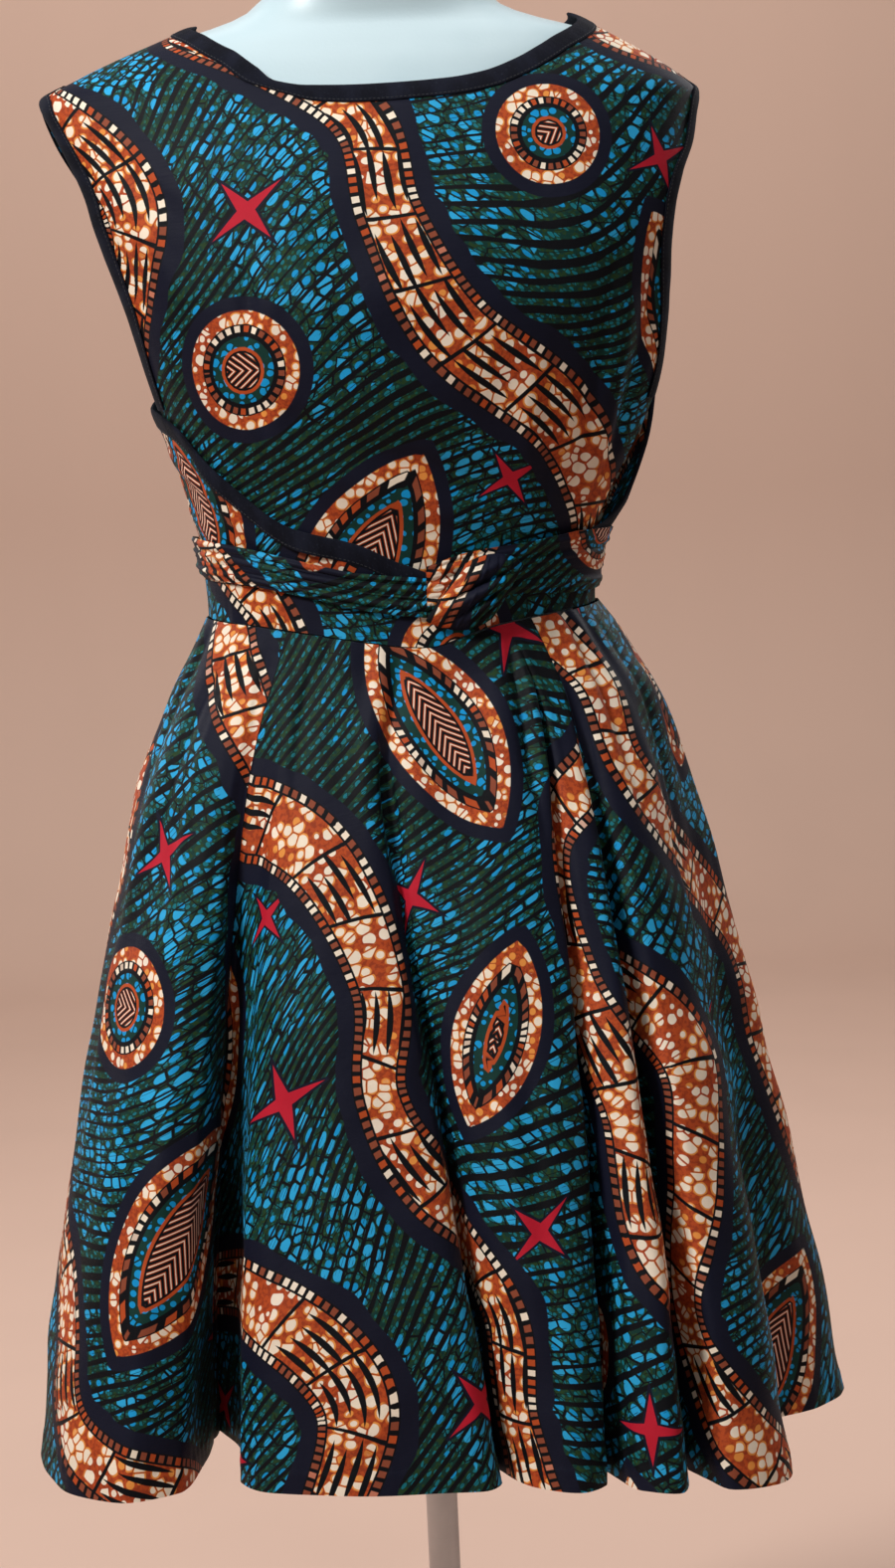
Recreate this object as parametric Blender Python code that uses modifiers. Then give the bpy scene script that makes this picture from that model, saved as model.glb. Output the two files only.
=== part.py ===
"""A sleeveless wax print dress on a limbless dress form with a pole stand.

Metres, +Z up. The origin is on the floor under the middle of the stand and the dress faces -Y. Left
and right in names are as seen from the front, so right is +X. Heights in the tables are rises above
the waist line, and angles are in degrees from the centre front, positive towards +X.
"""

import math

import bmesh
import bpy
import numpy as np

# Driving dimensions
WAIST_HEIGHT = 1.030
CLOTH = 0.0012
BINDING = 0.0014
BINDING_WIDTH = 0.014
GAP = 0.0003
BODICE_BOTTOM_RISE = -0.022
WAISTBAND_WIDTH = 0.028
POLE_RADIUS = 0.0125
FLANGE_RADIUS = 0.040
FLANGE_THICKNESS = 0.006
BASE_RADIUS = 0.170
BASE_THICKNESS = 0.012
BASE_EDGE = 0.004
FOOT_CHAMFER = 0.0015
HUB_RADIUS = 0.030
HUB_HEIGHT = 0.022
ROUNDING = 0.88  # power on sine and cosine: 1 is an ellipse, less is squarer

# Distances of each layer's middle surface out from the bodice's middle surface
LAYER = 0.0026
KNOT_THICKNESS = 0.0026
BINDING_OUT = CLOTH / 2 + GAP + BINDING / 2
WRAP_OUT = LAYER
SASH_OUT = WRAP_OUT + BINDING_OUT + 0.7 * LAYER
CROSSING_OUT = SASH_OUT + LAYER
KNOT_OUT = CROSSING_OUT + CLOTH / 2 + KNOT_THICKNESS / 2 + 1.5 * GAP

# Fineness of the meshes: columns across each piece, and rows where a table doesn't give them
BODICE_COLUMNS = {"front": 27, "back": 23}
WRAP_COLUMNS_ACROSS = {"left": 26, "right": 14}
WRAP_ROWS = 5
WAISTBAND_COLUMNS = 80
SASH_COLUMNS_ALONG = 34
FORM_SIDES = 32
POLE_SIDES = 24
BASE_SIDES = 36

# The worn bodice: half-widths to the wearer's right and left, depths to the front and back
FIGURE_COLUMNS = ("rise", "minus_x", "plus_x", "front", "back")
FIGURE = (
    (-0.080, 0.146, 0.149, 0.112, 0.104),
    (-0.050, 0.140, 0.143, 0.106, 0.097),
    (-0.020, 0.138, 0.140, 0.104, 0.094),
    (0.020, 0.141, 0.146, 0.107, 0.095),
    (0.060, 0.148, 0.168, 0.115, 0.099),
    (0.100, 0.160, 0.186, 0.126, 0.104),
    (0.145, 0.177, 0.200, 0.137, 0.108),
    (0.190, 0.194, 0.209, 0.141, 0.111),
    (0.240, 0.212, 0.221, 0.134, 0.112),
    (0.290, 0.230, 0.229, 0.119, 0.108),
    (0.345, 0.2445, 0.2322, 0.094, 0.096),
    (0.355, 0.2426, 0.2220, 0.0885, 0.091),
    (0.368, 0.2187, 0.2045, 0.081, 0.085),
    (0.380, 0.1920, 0.1849, 0.0735, 0.077),
    (0.392, 0.1613, 0.1638, 0.066, 0.069),
    (0.4045, 0.1290, 0.1410, 0.0595, 0.062),
)

# The form inside it, with the same meaning but one half-width
FORM_COLUMNS = ("rise", "half_width", "front", "back")
FORM = (
    (-0.300, 0.138, 0.094, 0.102),
    (-0.292, 0.149, 0.103, 0.112),
    (-0.240, 0.160, 0.109, 0.124),
    (-0.180, 0.160, 0.108, 0.124),
    (-0.120, 0.150, 0.103, 0.114),
    (-0.060, 0.133, 0.096, 0.096),
    (-0.020, 0.125, 0.091, 0.087),
    (0.020, 0.126, 0.093, 0.086),
    (0.060, 0.132, 0.102, 0.090),
    (0.100, 0.140, 0.114, 0.095),
    (0.145, 0.149, 0.125, 0.099),
    (0.190, 0.155, 0.130, 0.102),
    (0.240, 0.158, 0.123, 0.104),
    (0.290, 0.163, 0.109, 0.100),
    (0.330, 0.174, 0.094, 0.092),
    (0.358, 0.184, 0.081, 0.084),
    (0.372, 0.182, 0.074, 0.078),
    (0.382, 0.1745, 0.068, 0.071),
    (0.392, 0.1575, 0.062, 0.065),
    (0.398, 0.1305, 0.058, 0.060),
    (0.403, 0.116, 0.056, 0.058),
    (0.4095, 0.0965, 0.056, 0.058),
    (0.4168, 0.087, 0.056, 0.057),
    (0.424, 0.0785, 0.056, 0.057),
    (0.442, 0.066, 0.056, 0.056),
    (0.465, 0.060, 0.055, 0.055),
    (0.502, 0.058, 0.053, 0.053),
    (0.514, 0.054, 0.049, 0.049),
    (0.520, 0.044, 0.039, 0.039),
)

# Shares of a bodice panel's height, from below the neck binding to the waist, at which it has rows
TIP_DROP = {"left": 0.105, "right": 0.129}  # where the shoulder seams meet the armholes
BODICE_DROPS = np.array(
    [0, 0.028, 0.055, 0.080, TIP_DROP["left"], TIP_DROP["right"], 0.16, 0.2, 0.26, 0.33, 0.4]
    + [0.47, 0.54, 0.61, 0.68, 0.75, 0.83, 0.91, 1]
)
EDGE_TRIAL = 0.06  # share of a panel over which its width is measured to place the binding

# Rise at which each armhole binding ends under the arm, at the wearer's side towards -X and +X
BINDING_END = {"front": {"left": 0.136, "right": 0.130}, "back": {"left": 0.141, "right": 0.141}}

# Necklines: rise of the edge at each angle out from the centre front or centre back
NECK_COLUMNS = ("angle", "rise")
NECK_FRONT = (
    (-90, 0.4045),
    (-54, 0.3952),
    (-30, 0.3797),
    (-20, 0.3653),
    (-15, 0.3548),
    (-11, 0.3505),
    (-4, 0.3493),
    (2, 0.3497),
    (9, 0.3515),
    (16, 0.3558),
    (24, 0.3645),
    (32, 0.3736),
    (43, 0.3833),
    (65, 0.3950),
    (90, 0.4045),
)
NECK_BACK = (
    (-90, 0.4045),
    (-60, 0.4010),
    (-40, 0.3890),
    (-20, 0.3790),
    (0, 0.3750),
    (20, 0.3770),
    (40, 0.3850),
    (60, 0.3975),
    (90, 0.4045),
)

# Side edges of the bodice panels: angle reached at each rise, on each side
EDGE_COLUMNS = ("rise", "minus_x", "plus_x")
FRONT_EDGE = (
    (-0.030, 75, 74),
    (0.020, 75, 70),
    (0.040, 75, 64),
    (0.060, 76, 62),
    (0.090, 77, 66),
    (0.130, 77, 73),
    (0.150, 75, 73),
    (0.178, 71.7, 72),
    (0.203, 69.7, 69),
    (0.235, 69.3, 64.8),
    (0.260, 69, 64.2),
    (0.283, 67.5, 66.5),
    (0.306, 69, 74),
    (0.330, 72.5, 80),
    (0.345, 78.5, 89.8),
    (0.355, 89.8, 89.8),
)
BACK_EDGE = (
    (-0.030, 82, 82),
    (0.100, 82, 82),
    (0.140, 76, 78),
    (0.180, 67, 70),
    (0.220, 64, 66),
    (0.285, 67, 68),
    (0.320, 73, 75),
    (0.345, 80, 89.8),
    (0.355, 89.8, 89.8),
)

# Top edges of the two wraps, from the seam under the arm forwards
WRAP_COLUMNS = ("angle", "rise")
WRAP_LEFT_TOP = (
    (-97.8, 0.138),
    (-88, 0.134),
    (-76, 0.128),
    (-66, 0.117),
    (-59, 0.098),
    (-49, 0.077),
    (-31, 0.045),
    (-11, 0.030),
    (0, 0.014),
    (9, 0.001),
)
WRAP_LEAVE = (86, 97.8)  # angles between which a wrap comes down from over the front to the back panel
WRAP_RIGHT_TOP = ((62, 0.034), (70, 0.038), (79, 0.048), (85, 0.068), (90, 0.100), (97.8, 0.140))

# The waistband's lower edge all round, and the edges of the two lengths of sash
BAND_COLUMNS = ("angle", "rise")
BAND_LOW = (
    (-180, -0.022),
    (-90, -0.020),
    (-50, -0.024),
    (-27, -0.031),
    (-11, -0.038),
    (4, -0.044),
    (14, -0.037),
    (25, -0.030),
    (50, -0.024),
    (90, -0.020),
    (180, -0.022),
)
SASH_COLUMNS = ("angle", "top", "bottom")
SASH_LEFT = (
    (-179.8, 0.032, -0.006),
    (-120, 0.036, -0.002),
    (-90, 0.040, 0.013),
    (-60, 0.036, 0.008),
    (-45, 0.031, 0.004),
    (-24, 0.019, -0.006),
    (-13, 0.012, -0.014),
    (2, 0.006, -0.022),
    (12, 0.001, -0.026),
)
SASH_RIGHT = (
    (4, 0.014, -0.014),
    (13, 0.022, -0.013),
    (22, 0.026, -0.010),
    (31, 0.028, -0.009),
    (43, 0.032, -0.010),
    (54, 0.035, -0.011),
    (90, 0.036, -0.008),
    (130, 0.034, -0.004),
    (179.8, 0.032, -0.006),
)
CROSSING = (20, 40)  # angles between which the upper length comes down beside the lower
KNOT_SPAN = (8, 26)
KNOT_TOP_RISE = 0.021
KNOT_BOTTOM_RISE = -0.033
KNOT_CORNER = 0.008
KNOT_SWELL = 0.010
KNOT_TUCK = (-0.028, -0.016)  # rises between which its foot turns in to the waistband

# The skirt's middle line between ridges and grooves, by the drop below its top edge
SKIRT_COLUMNS = ("drop", "minus_x", "plus_x", "front", "back")
SKIRT = (
    (0.000, 0.140, 0.143, 0.106, 0.097),
    (0.025, 0.152, 0.160, 0.113, 0.106),
    (0.060, 0.171, 0.180, 0.126, 0.122),
    (0.110, 0.190, 0.195, 0.143, 0.144),
    (0.170, 0.203, 0.207, 0.160, 0.165),
    (0.250, 0.217, 0.221, 0.180, 0.187),
    (0.340, 0.231, 0.235, 0.200, 0.208),
    (0.430, 0.243, 0.247, 0.217, 0.226),
    (0.520, 0.253, 0.257, 0.231, 0.241),
    (0.620, 0.259, 0.264, 0.242, 0.253),
)
# The lines that the skirt's ridges and grooves follow: their angles at the hem and at the waist, the
# power of the share down at which each turns between them, how far out and how far round each has
# moved at the hem, and the share at which it starts and the power at which it grows
FOLD_COLUMNS = ("hem", "waist", "sweep", "reach", "lean", "start", "growth")
FOLDS = (
    (-68, -66, 0.8, 0.043, -0.005, 0.06, 1.00),
    (-56, -51, 1, 0.053, 0.000, 0.06, 1.00),
    (-48.5, -42.5, 1, 0.045, 0.014, 0.05, 1.00),
    (-44, -38.5, 1, 0.013, 0.011, 0.05, 1.10),
    (-41.5, -35.5, 1, -0.049, -0.035, 0.06, 1.30),
    (-39.5, -32.5, 1, -0.111, -0.085, 0.07, 1.45),
    (-37.5, -29.5, 1, -0.075, -0.034, 0.07, 1.30),
    (-35, -26.5, 1, -0.019, 0.003, 0.06, 1.10),
    (-29.5, -23.5, 1, -0.004, 0.015, 0.08, 1.00),
    (-20, -20, 1, -0.001, 0.019, 0.15, 1.00),
    (-8, -15.5, 0.9, 0.002, 0.014, 0.20, 1.00),
    (4, -12.5, 0.85, 0.006, -0.008, 0.20, 1.00),
    (7, -10.5, 0.85, -0.007, -0.010, 0.12, 1.00),
    (8.7, -9, 0.85, -0.056, -0.013, 0.10, 1.00),
    (10.4, -7, 0.85, -0.019, -0.015, 0.10, 1.00),
    (13, -2, 0.9, 0.005, -0.018, 0.08, 1.00),
    (18, 17, 1, 0.024, -0.020, 0.04, 0.85),
    (21.3, 25, 1, 0.013, -0.015, 0.03, 0.85),
    (23.3, 27, 1, -0.043, -0.002, 0.02, 0.85),
    (25.2, 28.5, 1, 0.000, -0.016, 0.05, 0.90),
    (27.2, 30, 1, 0.029, -0.026, 0.10, 1.00),
    (30.5, 32, 1, 0.045, -0.026, 0.10, 1.00),
    (33.2, 33.5, 1, 0.026, -0.017, 0.08, 1.00),
    (35.6, 36, 1, -0.032, 0.006, 0.06, 1.00),
    (38, 38, 1, 0.017, -0.017, 0.06, 1.00),
    (40.5, 41, 1, 0.044, -0.032, 0.07, 1.00),
    (45, 46, 1, 0.052, -0.020, 0.07, 1.00),
    (51, 53, 1, 0.036, -0.007, 0.07, 1.00),
    (60, 62, 1, -0.024, 0.004, 0.08, 1.10),
    (74, 75, 1, -0.021, 0.009, 0.10, 1.10),
    (84, 84, 1, 0.021, 0.006, 0.10, 1.00),
    (94, 95, 0.9, 0.046, -0.007, 0.10, 1.00),
    (104, 107, 0.9, 0.047, -0.011, 0.12, 1.00),
    (113, 120, 0.8, -0.034, 0.000, 0.18, 1.25),
    (128, 133, 0.8, 0.029, 0.000, 0.14, 1.25),
    (141, 145, 0.8, -0.038, 0.000, 0.12, 1.25),
    (157, 162, 0.8, 0.032, 0.000, 0.10, 1.25),
    (170, 178, 0.8, -0.032, 0.000, 0.20, 1.25),
    (184, 190, 0.8, 0.026, 0.000, 0.18, 1.25),
    (198, 203, 0.8, -0.040, 0.000, 0.10, 1.25),
    (214, 217, 0.8, 0.033, 0.000, 0.10, 1.25),
    (227, 229, 0.8, -0.030, 0.000, 0.22, 1.25),
    (240, 239, 0.8, 0.028, 0.000, 0.18, 1.25),
    (254, 250, 0.8, -0.038, 0.000, 0.12, 1.25),
    (271, 268, 0.8, 0.030, 0.000, 0.12, 1.10),
)
HEM_COLUMNS = ("angle", "rise")
HEM = (
    (-180, -0.632),
    (-100, -0.626),
    (-60, -0.620),
    (-27, -0.612),
    (10, -0.611),
    (31, -0.616),
    (57, -0.632),
    (98, -0.634),
    (140, -0.630),
    (180, -0.632),
)
# The skirt's panels, and the hem angle of the seam that each begins at
PANELS = (
    ("front", -40.5),
    ("side_right", 34.4),
    ("back_right", 113),
    ("back_left", 170),
    ("side_left", 254),
)
SKIRT_SEAM_GAP = 0.0014  # between two panels along the hem, and less round the waist
WAIST_SEAM_GAP = 0.0004
WAIST_RADIUS = 0.14
SKIRT_COLUMN_WIDTH = 0.0185  # most length of hem, and most turn at the waist, between two columns
SKIRT_COLUMN_TURN = 4.5
SKIRT_SHARES = np.array([0, 0.03, 0.08, 0.16, 0.28, 0.44, 0.62, 0.80, 1.0])  # rows down the skirt

COLOURS = {
    "wax_print_cotton": (0.030, 0.110, 0.140),
    "bias_binding": (0.010, 0.012, 0.018),
    "form_shell": (0.760, 0.830, 0.840),
    "stand_metal": (0.600, 0.610, 0.620),
}
ROUGHNESS = {"wax_print_cotton": 0.72, "bias_binding": 0.80, "form_shell": 0.42, "stand_metal": 0.30}
METALLIC = {"wax_print_cotton": 0.0, "bias_binding": 0.0, "form_shell": 0.0, "stand_metal": 1.0}


def column(table, names, name):
    return np.array([row[names.index(name)] for row in table], dtype=float)


def smooth(value, stations, levels):
    """A monotone cubic through the table's points, held level beyond its ends."""
    widths = np.diff(stations)
    rates = np.diff(levels) / widths
    slopes = np.zeros(len(stations))
    slopes[0], slopes[-1] = rates[0], rates[-1]
    rising = rates[:-1] * rates[1:] > 0
    slopes[1:-1][rising] = 2 / (1 / rates[:-1][rising] + 1 / rates[1:][rising])
    value = np.clip(np.asarray(value, dtype=float), stations[0], stations[-1])
    index = np.clip(np.searchsorted(stations, value, side="right") - 1, 0, len(widths) - 1)
    width = widths[index]
    t = (value - stations[index]) / width
    return (
        levels[index] * (1 + 2 * t) * (1 - t) ** 2
        + slopes[index] * width * t * (1 - t) ** 2
        + levels[index + 1] * t**2 * (3 - 2 * t)
        - slopes[index + 1] * width * t**2 * (1 - t)
    )


def read(table, names, along, name, value):
    return smooth(value, column(table, names, along), column(table, names, name))


def rounded(wave):
    return np.sign(wave) * np.abs(wave) ** ROUNDING


def section(angle, minus_x, plus_x, front, back):
    """The point at this angle on a squared ellipse with four different half-axes."""
    turn = np.radians(angle)
    across, ahead = rounded(np.sin(turn)), rounded(np.cos(turn))
    x = np.where(across > 0, plus_x, minus_x) * across
    y = -np.where(ahead > 0, front, back) * ahead
    return x, y


def figure_surface(angle, rise):
    angle, rise = np.broadcast_arrays(np.asarray(angle, float), np.asarray(rise, float))
    sizes = [read(FIGURE, FIGURE_COLUMNS, "rise", name, rise) for name in FIGURE_COLUMNS[1:]]
    x, y = section(angle, *sizes)
    return np.stack([x, y, WAIST_HEIGHT + rise], axis=-1)


def figure_normal(angle, rise):
    """The worn surface's outward normal, from a small step each way round and up."""
    turn, lift = 0.5, 0.0015
    along = figure_surface(angle + turn, rise) - figure_surface(angle - turn, rise)
    up = figure_surface(angle, rise + lift) - figure_surface(angle, rise - lift)
    normal = np.cross(along, up)
    return normal / np.linalg.norm(normal, axis=-1, keepdims=True)


def figure_point(angle, rise, out=0.0):
    """A point of the worn surface, moved out along its normal."""
    angle, rise = np.broadcast_arrays(np.asarray(angle, float), np.asarray(rise, float))
    out = np.broadcast_to(np.asarray(out, float), angle.shape)
    return figure_surface(angle, rise) + figure_normal(angle, rise) * out[..., None]


def make_material(name):
    material = bpy.data.materials.new(name)
    material.use_nodes = True
    shader = material.node_tree.nodes["Principled BSDF"]
    shader.inputs["Base Color"].default_value = (*COLOURS[name], 1.0)
    shader.inputs["Roughness"].default_value = ROUGHNESS[name]
    shader.inputs["Metallic"].default_value = METALLIC[name]
    return material


def add_object(name, mesh, material, collection):
    mesh.materials.append(material)
    mesh.shade_smooth()
    mesh.set_sharp_from_angle(angle=math.radians(40))
    item = bpy.data.objects.new(name, mesh)
    collection.objects.link(item)
    return item


def grid_mesh(name, points, closed=False):
    """A sheet through a grid of points, rows by columns; closed joins the last column to the first."""
    rows, columns = points.shape[:2]
    build = bmesh.new()
    verts = [[build.verts.new(point) for point in row] for row in points]
    last = columns if closed else columns - 1
    for i in range(rows - 1):
        for j in range(last):
            k = (j + 1) % columns
            build.faces.new((verts[i][j], verts[i + 1][j], verts[i + 1][k], verts[i][k]))
    mesh = bpy.data.meshes.new(name)
    build.to_mesh(mesh)
    build.free()
    return mesh


def add_wall(name, points, thickness, material, collection, closed=False):
    """Cloth: a sheet with its thickness grown evenly to both sides."""
    item = add_object(name, grid_mesh(name, points, closed), material, collection)
    wall = item.modifiers.new("thickness", "SOLIDIFY")
    wall.thickness = thickness
    wall.offset = 0.0
    return item


def grid_normals(points):
    """The outward normals of a sheet through these points, at each of them."""
    mesh = grid_mesh("normals", points)
    normals = np.empty(len(mesh.vertices) * 3, np.float32)
    mesh.vertices.foreach_get("normal", normals)
    bpy.data.meshes.remove(mesh)
    return normals.reshape(points.shape)


def panel_reach(edge, share, rise):
    minus = read(edge, EDGE_COLUMNS, "rise", "minus_x", rise)
    plus = read(edge, EDGE_COLUMNS, "rise", "plus_x", rise)
    return np.where(share < 0, minus, plus)


def panel_point(neck, edge, facing, share, drop):
    """A point of a bodice panel: share across it from -1 to 1, drop from its top edge to the waist."""
    top = read(neck, NECK_COLUMNS, "angle", "rise", share * 90)
    rise = top + (BODICE_BOTTOM_RISE - top) * drop
    angle = share * panel_reach(edge, share, rise)
    return figure_point(angle if facing == "front" else 180 - angle, rise)


def bodice_grid(neck, edge, facing, columns):
    """The panel's points, with its first row and its outer columns one binding's width from the edge."""
    shares = np.linspace(-1, 1, columns)
    top = panel_point(neck, edge, facing, shares, 0)
    depth = np.linalg.norm(top - panel_point(neck, edge, facing, shares, EDGE_TRIAL), axis=-1)
    first = EDGE_TRIAL * BINDING_WIDTH / depth
    drops = first + (1 - first) * BODICE_DROPS[:, None]
    drops = np.vstack([np.zeros(columns), drops])
    share = np.broadcast_to(shares, drops.shape).copy()
    for outer, inner in ((0, 1), (-1, -2)):
        end = share[:, outer]
        inside = panel_point(neck, edge, facing, end * (1 - EDGE_TRIAL), drops[:, outer])
        width = np.linalg.norm(panel_point(neck, edge, facing, end, drops[:, outer]) - inside, axis=-1)
        share[:, inner] = end * (1 - EDGE_TRIAL * BINDING_WIDTH / width)
    return panel_point(neck, edge, facing, share, drops)


def add_binding(name, points, normals, materials, collection, lift=0.0):
    """A strip of bias tape over the edge of the sheet that these points belong to."""
    tape = points + normals * (BINDING_OUT + lift)
    add_wall(name, tape, BINDING, materials["bias_binding"], collection)


def add_bodice(materials, collection):
    panels = (
        ("front", NECK_FRONT, FRONT_EDGE, ("left", "right")),
        ("back", NECK_BACK, BACK_EDGE, ("right", "left")),
    )
    for facing, neck, edge, sides in panels:
        grid = bodice_grid(neck, edge, facing, BODICE_COLUMNS[facing])
        if facing == "back":
            grid = grid[:, ::-1]
        normals = grid_normals(grid)
        add_wall(facing + "_bodice", grid, CLOTH, materials["wax_print_cotton"], collection)
        add_binding("neck_binding_" + facing, grid[:2], normals[:2], materials, collection)
        for side, strip in zip(sides, (slice(0, 2), slice(-2, None))):
            end = WAIST_HEIGHT + BINDING_END[facing][side]
            first = 1 + int(np.argmin(np.abs(BODICE_DROPS - TIP_DROP[side])))
            last = int(np.argmin(np.abs(grid[:, strip][:, 0, 2] - end)))
            rows = slice(first, last + 1)
            name = "armhole_binding_{}_{}".format(facing, side)
            add_binding(name, grid[rows, strip], normals[rows, strip], materials, collection, 2 * GAP)


def wrap_out(angle):
    """The wraps leave the back panel's surface and lie one layer over the front panel's."""
    return WRAP_OUT * np.interp(np.abs(angle), WRAP_LEAVE, (1, 0))


def band_top(angle):
    return read(BAND_LOW, BAND_COLUMNS, "angle", "rise", angle) + WAISTBAND_WIDTH


def add_wraps(materials, collection):
    for name, table in (("left", WRAP_LEFT_TOP), ("right", WRAP_RIGHT_TOP)):
        columns = WRAP_COLUMNS_ACROSS[name]
        angle = np.linspace(table[0][0], table[-1][0], columns)
        top = read(table, WRAP_COLUMNS, "angle", "rise", angle)
        bottom = band_top(angle) + 2 * GAP
        tangent = np.gradient(figure_point(angle, top), axis=0)
        level = np.hypot(tangent[:, 0], tangent[:, 1]) / np.linalg.norm(tangent, axis=1)
        first = np.minimum(BINDING_WIDTH / level / (top - bottom), 0.6)
        share = first + (1 - first) * np.linspace(0, 1, WRAP_ROWS)[:, None]
        share = np.vstack([np.zeros(columns), share])
        rise = top + (bottom - top) * share
        grid = figure_point(angle, rise, wrap_out(angle))
        add_wall("wrap_" + name, grid, CLOTH, materials["wax_print_cotton"], collection)
        add_binding("wrap_binding_" + name, grid[:2], grid_normals(grid)[:2], materials, collection)


def add_waist(materials, collection):
    """The waistband, the sash in two lengths over it and the knot tucked over the crossing."""
    print_cloth = materials["wax_print_cotton"]
    turns = np.linspace(-180, 180, WAISTBAND_COLUMNS, endpoint=False)
    angle, share = np.meshgrid(turns, np.linspace(0, 1, 3))
    low = read(BAND_LOW, BAND_COLUMNS, "angle", "rise", angle)
    band = figure_point(angle, low + WAISTBAND_WIDTH * (1 - share), WRAP_OUT)
    add_wall("waistband", band, CLOTH, print_cloth, collection, closed=True)
    for name, table, front_out in (("left", SASH_LEFT, SASH_OUT), ("right", SASH_RIGHT, CROSSING_OUT)):
        turns = np.linspace(table[0][0], table[-1][0], SASH_COLUMNS_ALONG)
        angle, share = np.meshgrid(turns, np.linspace(0, 1, 4))
        top = read(table, SASH_COLUMNS, "angle", "top", angle)
        bottom = read(table, SASH_COLUMNS, "angle", "bottom", angle)
        out = np.interp(np.abs(angle), CROSSING, (front_out, SASH_OUT))
        sash = figure_point(angle, top + (bottom - top) * share, out)
        add_wall("sash_" + name, sash, CLOTH, print_cloth, collection)
    add_knot(print_cloth, collection)


def add_knot(print_cloth, collection):
    """A rounded pad of folded cloth whose foot turns in below the sash."""
    angle, share = np.meshgrid(np.linspace(*KNOT_SPAN, 8), np.linspace(0, 1, 9))
    across = 2 * (angle - KNOT_SPAN[0]) / (KNOT_SPAN[1] - KNOT_SPAN[0]) - 1
    height = KNOT_TOP_RISE - KNOT_BOTTOM_RISE - 2 * KNOT_CORNER * across**2
    rise = (KNOT_TOP_RISE + KNOT_BOTTOM_RISE) / 2 + height * (0.5 - share)
    swell = KNOT_SWELL * np.sqrt(np.sin(np.pi * share)) * np.sqrt(1 - across**2)
    tuck = LAYER * np.interp(rise, KNOT_TUCK, (1, 0))
    knot = figure_point(angle, rise, KNOT_OUT + swell - tuck)
    add_wall("sash_knot", knot, KNOT_THICKNESS, print_cloth, collection)


def fold_value(angle, name):
    """One column of the fold table, read all round at this hem angle."""
    stations = column(FOLDS, FOLD_COLUMNS, "hem")
    levels = column(FOLDS, FOLD_COLUMNS, name)
    turn = 360.0 if name == "waist" else 0.0
    stations = np.concatenate([stations[-2:] - 360, stations, stations[:2] + 360])
    levels = np.concatenate([levels[-2:] - turn, levels, levels[:2] + turn])
    place = FOLDS[0][0] + np.mod(np.asarray(angle, float) - FOLDS[0][0], 360)
    value = smooth(place, stations, levels)
    return value + angle - place if turn else value


def wrapped(angle):
    return np.mod(np.asarray(angle, float) + 180, 360) - 180


def skirt_point(hem_angle, share, waist_shift=0.0):
    """A point of the skirt, share of the way down the line that ends at hem_angle."""
    waist_angle = fold_value(hem_angle, "waist") + waist_shift
    top = read(BAND_LOW, BAND_COLUMNS, "angle", "rise", wrapped(waist_angle)) - 2 * GAP
    hem = read(HEM, HEM_COLUMNS, "angle", "rise", wrapped(hem_angle))
    rise = top + (hem - top) * share
    drop = SKIRT[-1][0] * share
    angle = waist_angle + (hem_angle - waist_angle) * share ** fold_value(hem_angle, "sweep")
    sizes = [read(SKIRT, SKIRT_COLUMNS, "drop", name, drop) for name in SKIRT_COLUMNS[1:]]
    plan = np.stack(section(angle, *sizes), axis=-1)
    outward = plan / np.linalg.norm(plan, axis=-1, keepdims=True)
    onward = np.stack([-outward[..., 1], outward[..., 0]], axis=-1)
    begin = fold_value(hem_angle, "start")
    grown = np.clip((share - begin) / (1 - begin), 0, 1) ** fold_value(hem_angle, "growth")
    reach = WRAP_OUT + fold_value(hem_angle, "reach") * grown
    lean = fold_value(hem_angle, "lean") * grown
    plan = plan + outward * reach[..., None] + onward * lean[..., None]
    return np.concatenate([plan, (WAIST_HEIGHT + rise)[..., None]], axis=-1)


def hem_length(angles):
    """The length along the folded hem to each of these hem angles."""
    edge = skirt_point(angles, np.ones(angles.shape))
    return np.append(0, np.cumsum(np.linalg.norm(np.diff(edge, axis=0), axis=1)))


def hem_stations(low, high):
    """Hem angles of a panel's columns: its ends, each fold line, and even steps of hem between them."""
    fine = np.linspace(low, high, 4000)
    length = hem_length(fine)
    low, high = np.interp([SKIRT_SEAM_GAP / 2, length[-1] - SKIRT_SEAM_GAP / 2], length, fine)
    lines = column(FOLDS, FOLD_COLUMNS, "hem")
    lines = np.concatenate([lines, lines + 360])
    lines = np.concatenate([[low], lines[(lines > low + 0.5) & (lines < high - 0.5)], [high]])
    stations = []
    for start, end in zip(lines, lines[1:]):
        fine = np.linspace(start, end, 60)
        length = hem_length(fine)
        turn = fold_value(end, "waist") - fold_value(start, "waist")
        steps = math.ceil(max(length[-1] / SKIRT_COLUMN_WIDTH, turn / SKIRT_COLUMN_TURN))
        stations.append(np.interp(np.linspace(0, length[-1], steps + 1)[:-1], length, fine))
    return np.append(np.concatenate(stations), high)


def add_skirt(materials, collection):
    """Panels seamed in grooves, each through columns that run from the waistband to the folded hem."""
    ends = PANELS[1:] + ((None, PANELS[0][1] + 360),)
    for (name, low), (_, high) in zip(PANELS, ends):
        stations = hem_stations(low, high)
        shift = np.zeros(stations.shape)
        shift[0] = math.degrees(WAIST_SEAM_GAP / 2 / WAIST_RADIUS)
        shift[-1] = -shift[0]
        share, hem_angle = np.meshgrid(SKIRT_SHARES, stations, indexing="ij")
        points = skirt_point(hem_angle, share, shift)
        add_wall("skirt_" + name, points, CLOTH, materials["wax_print_cotton"], collection)


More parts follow.
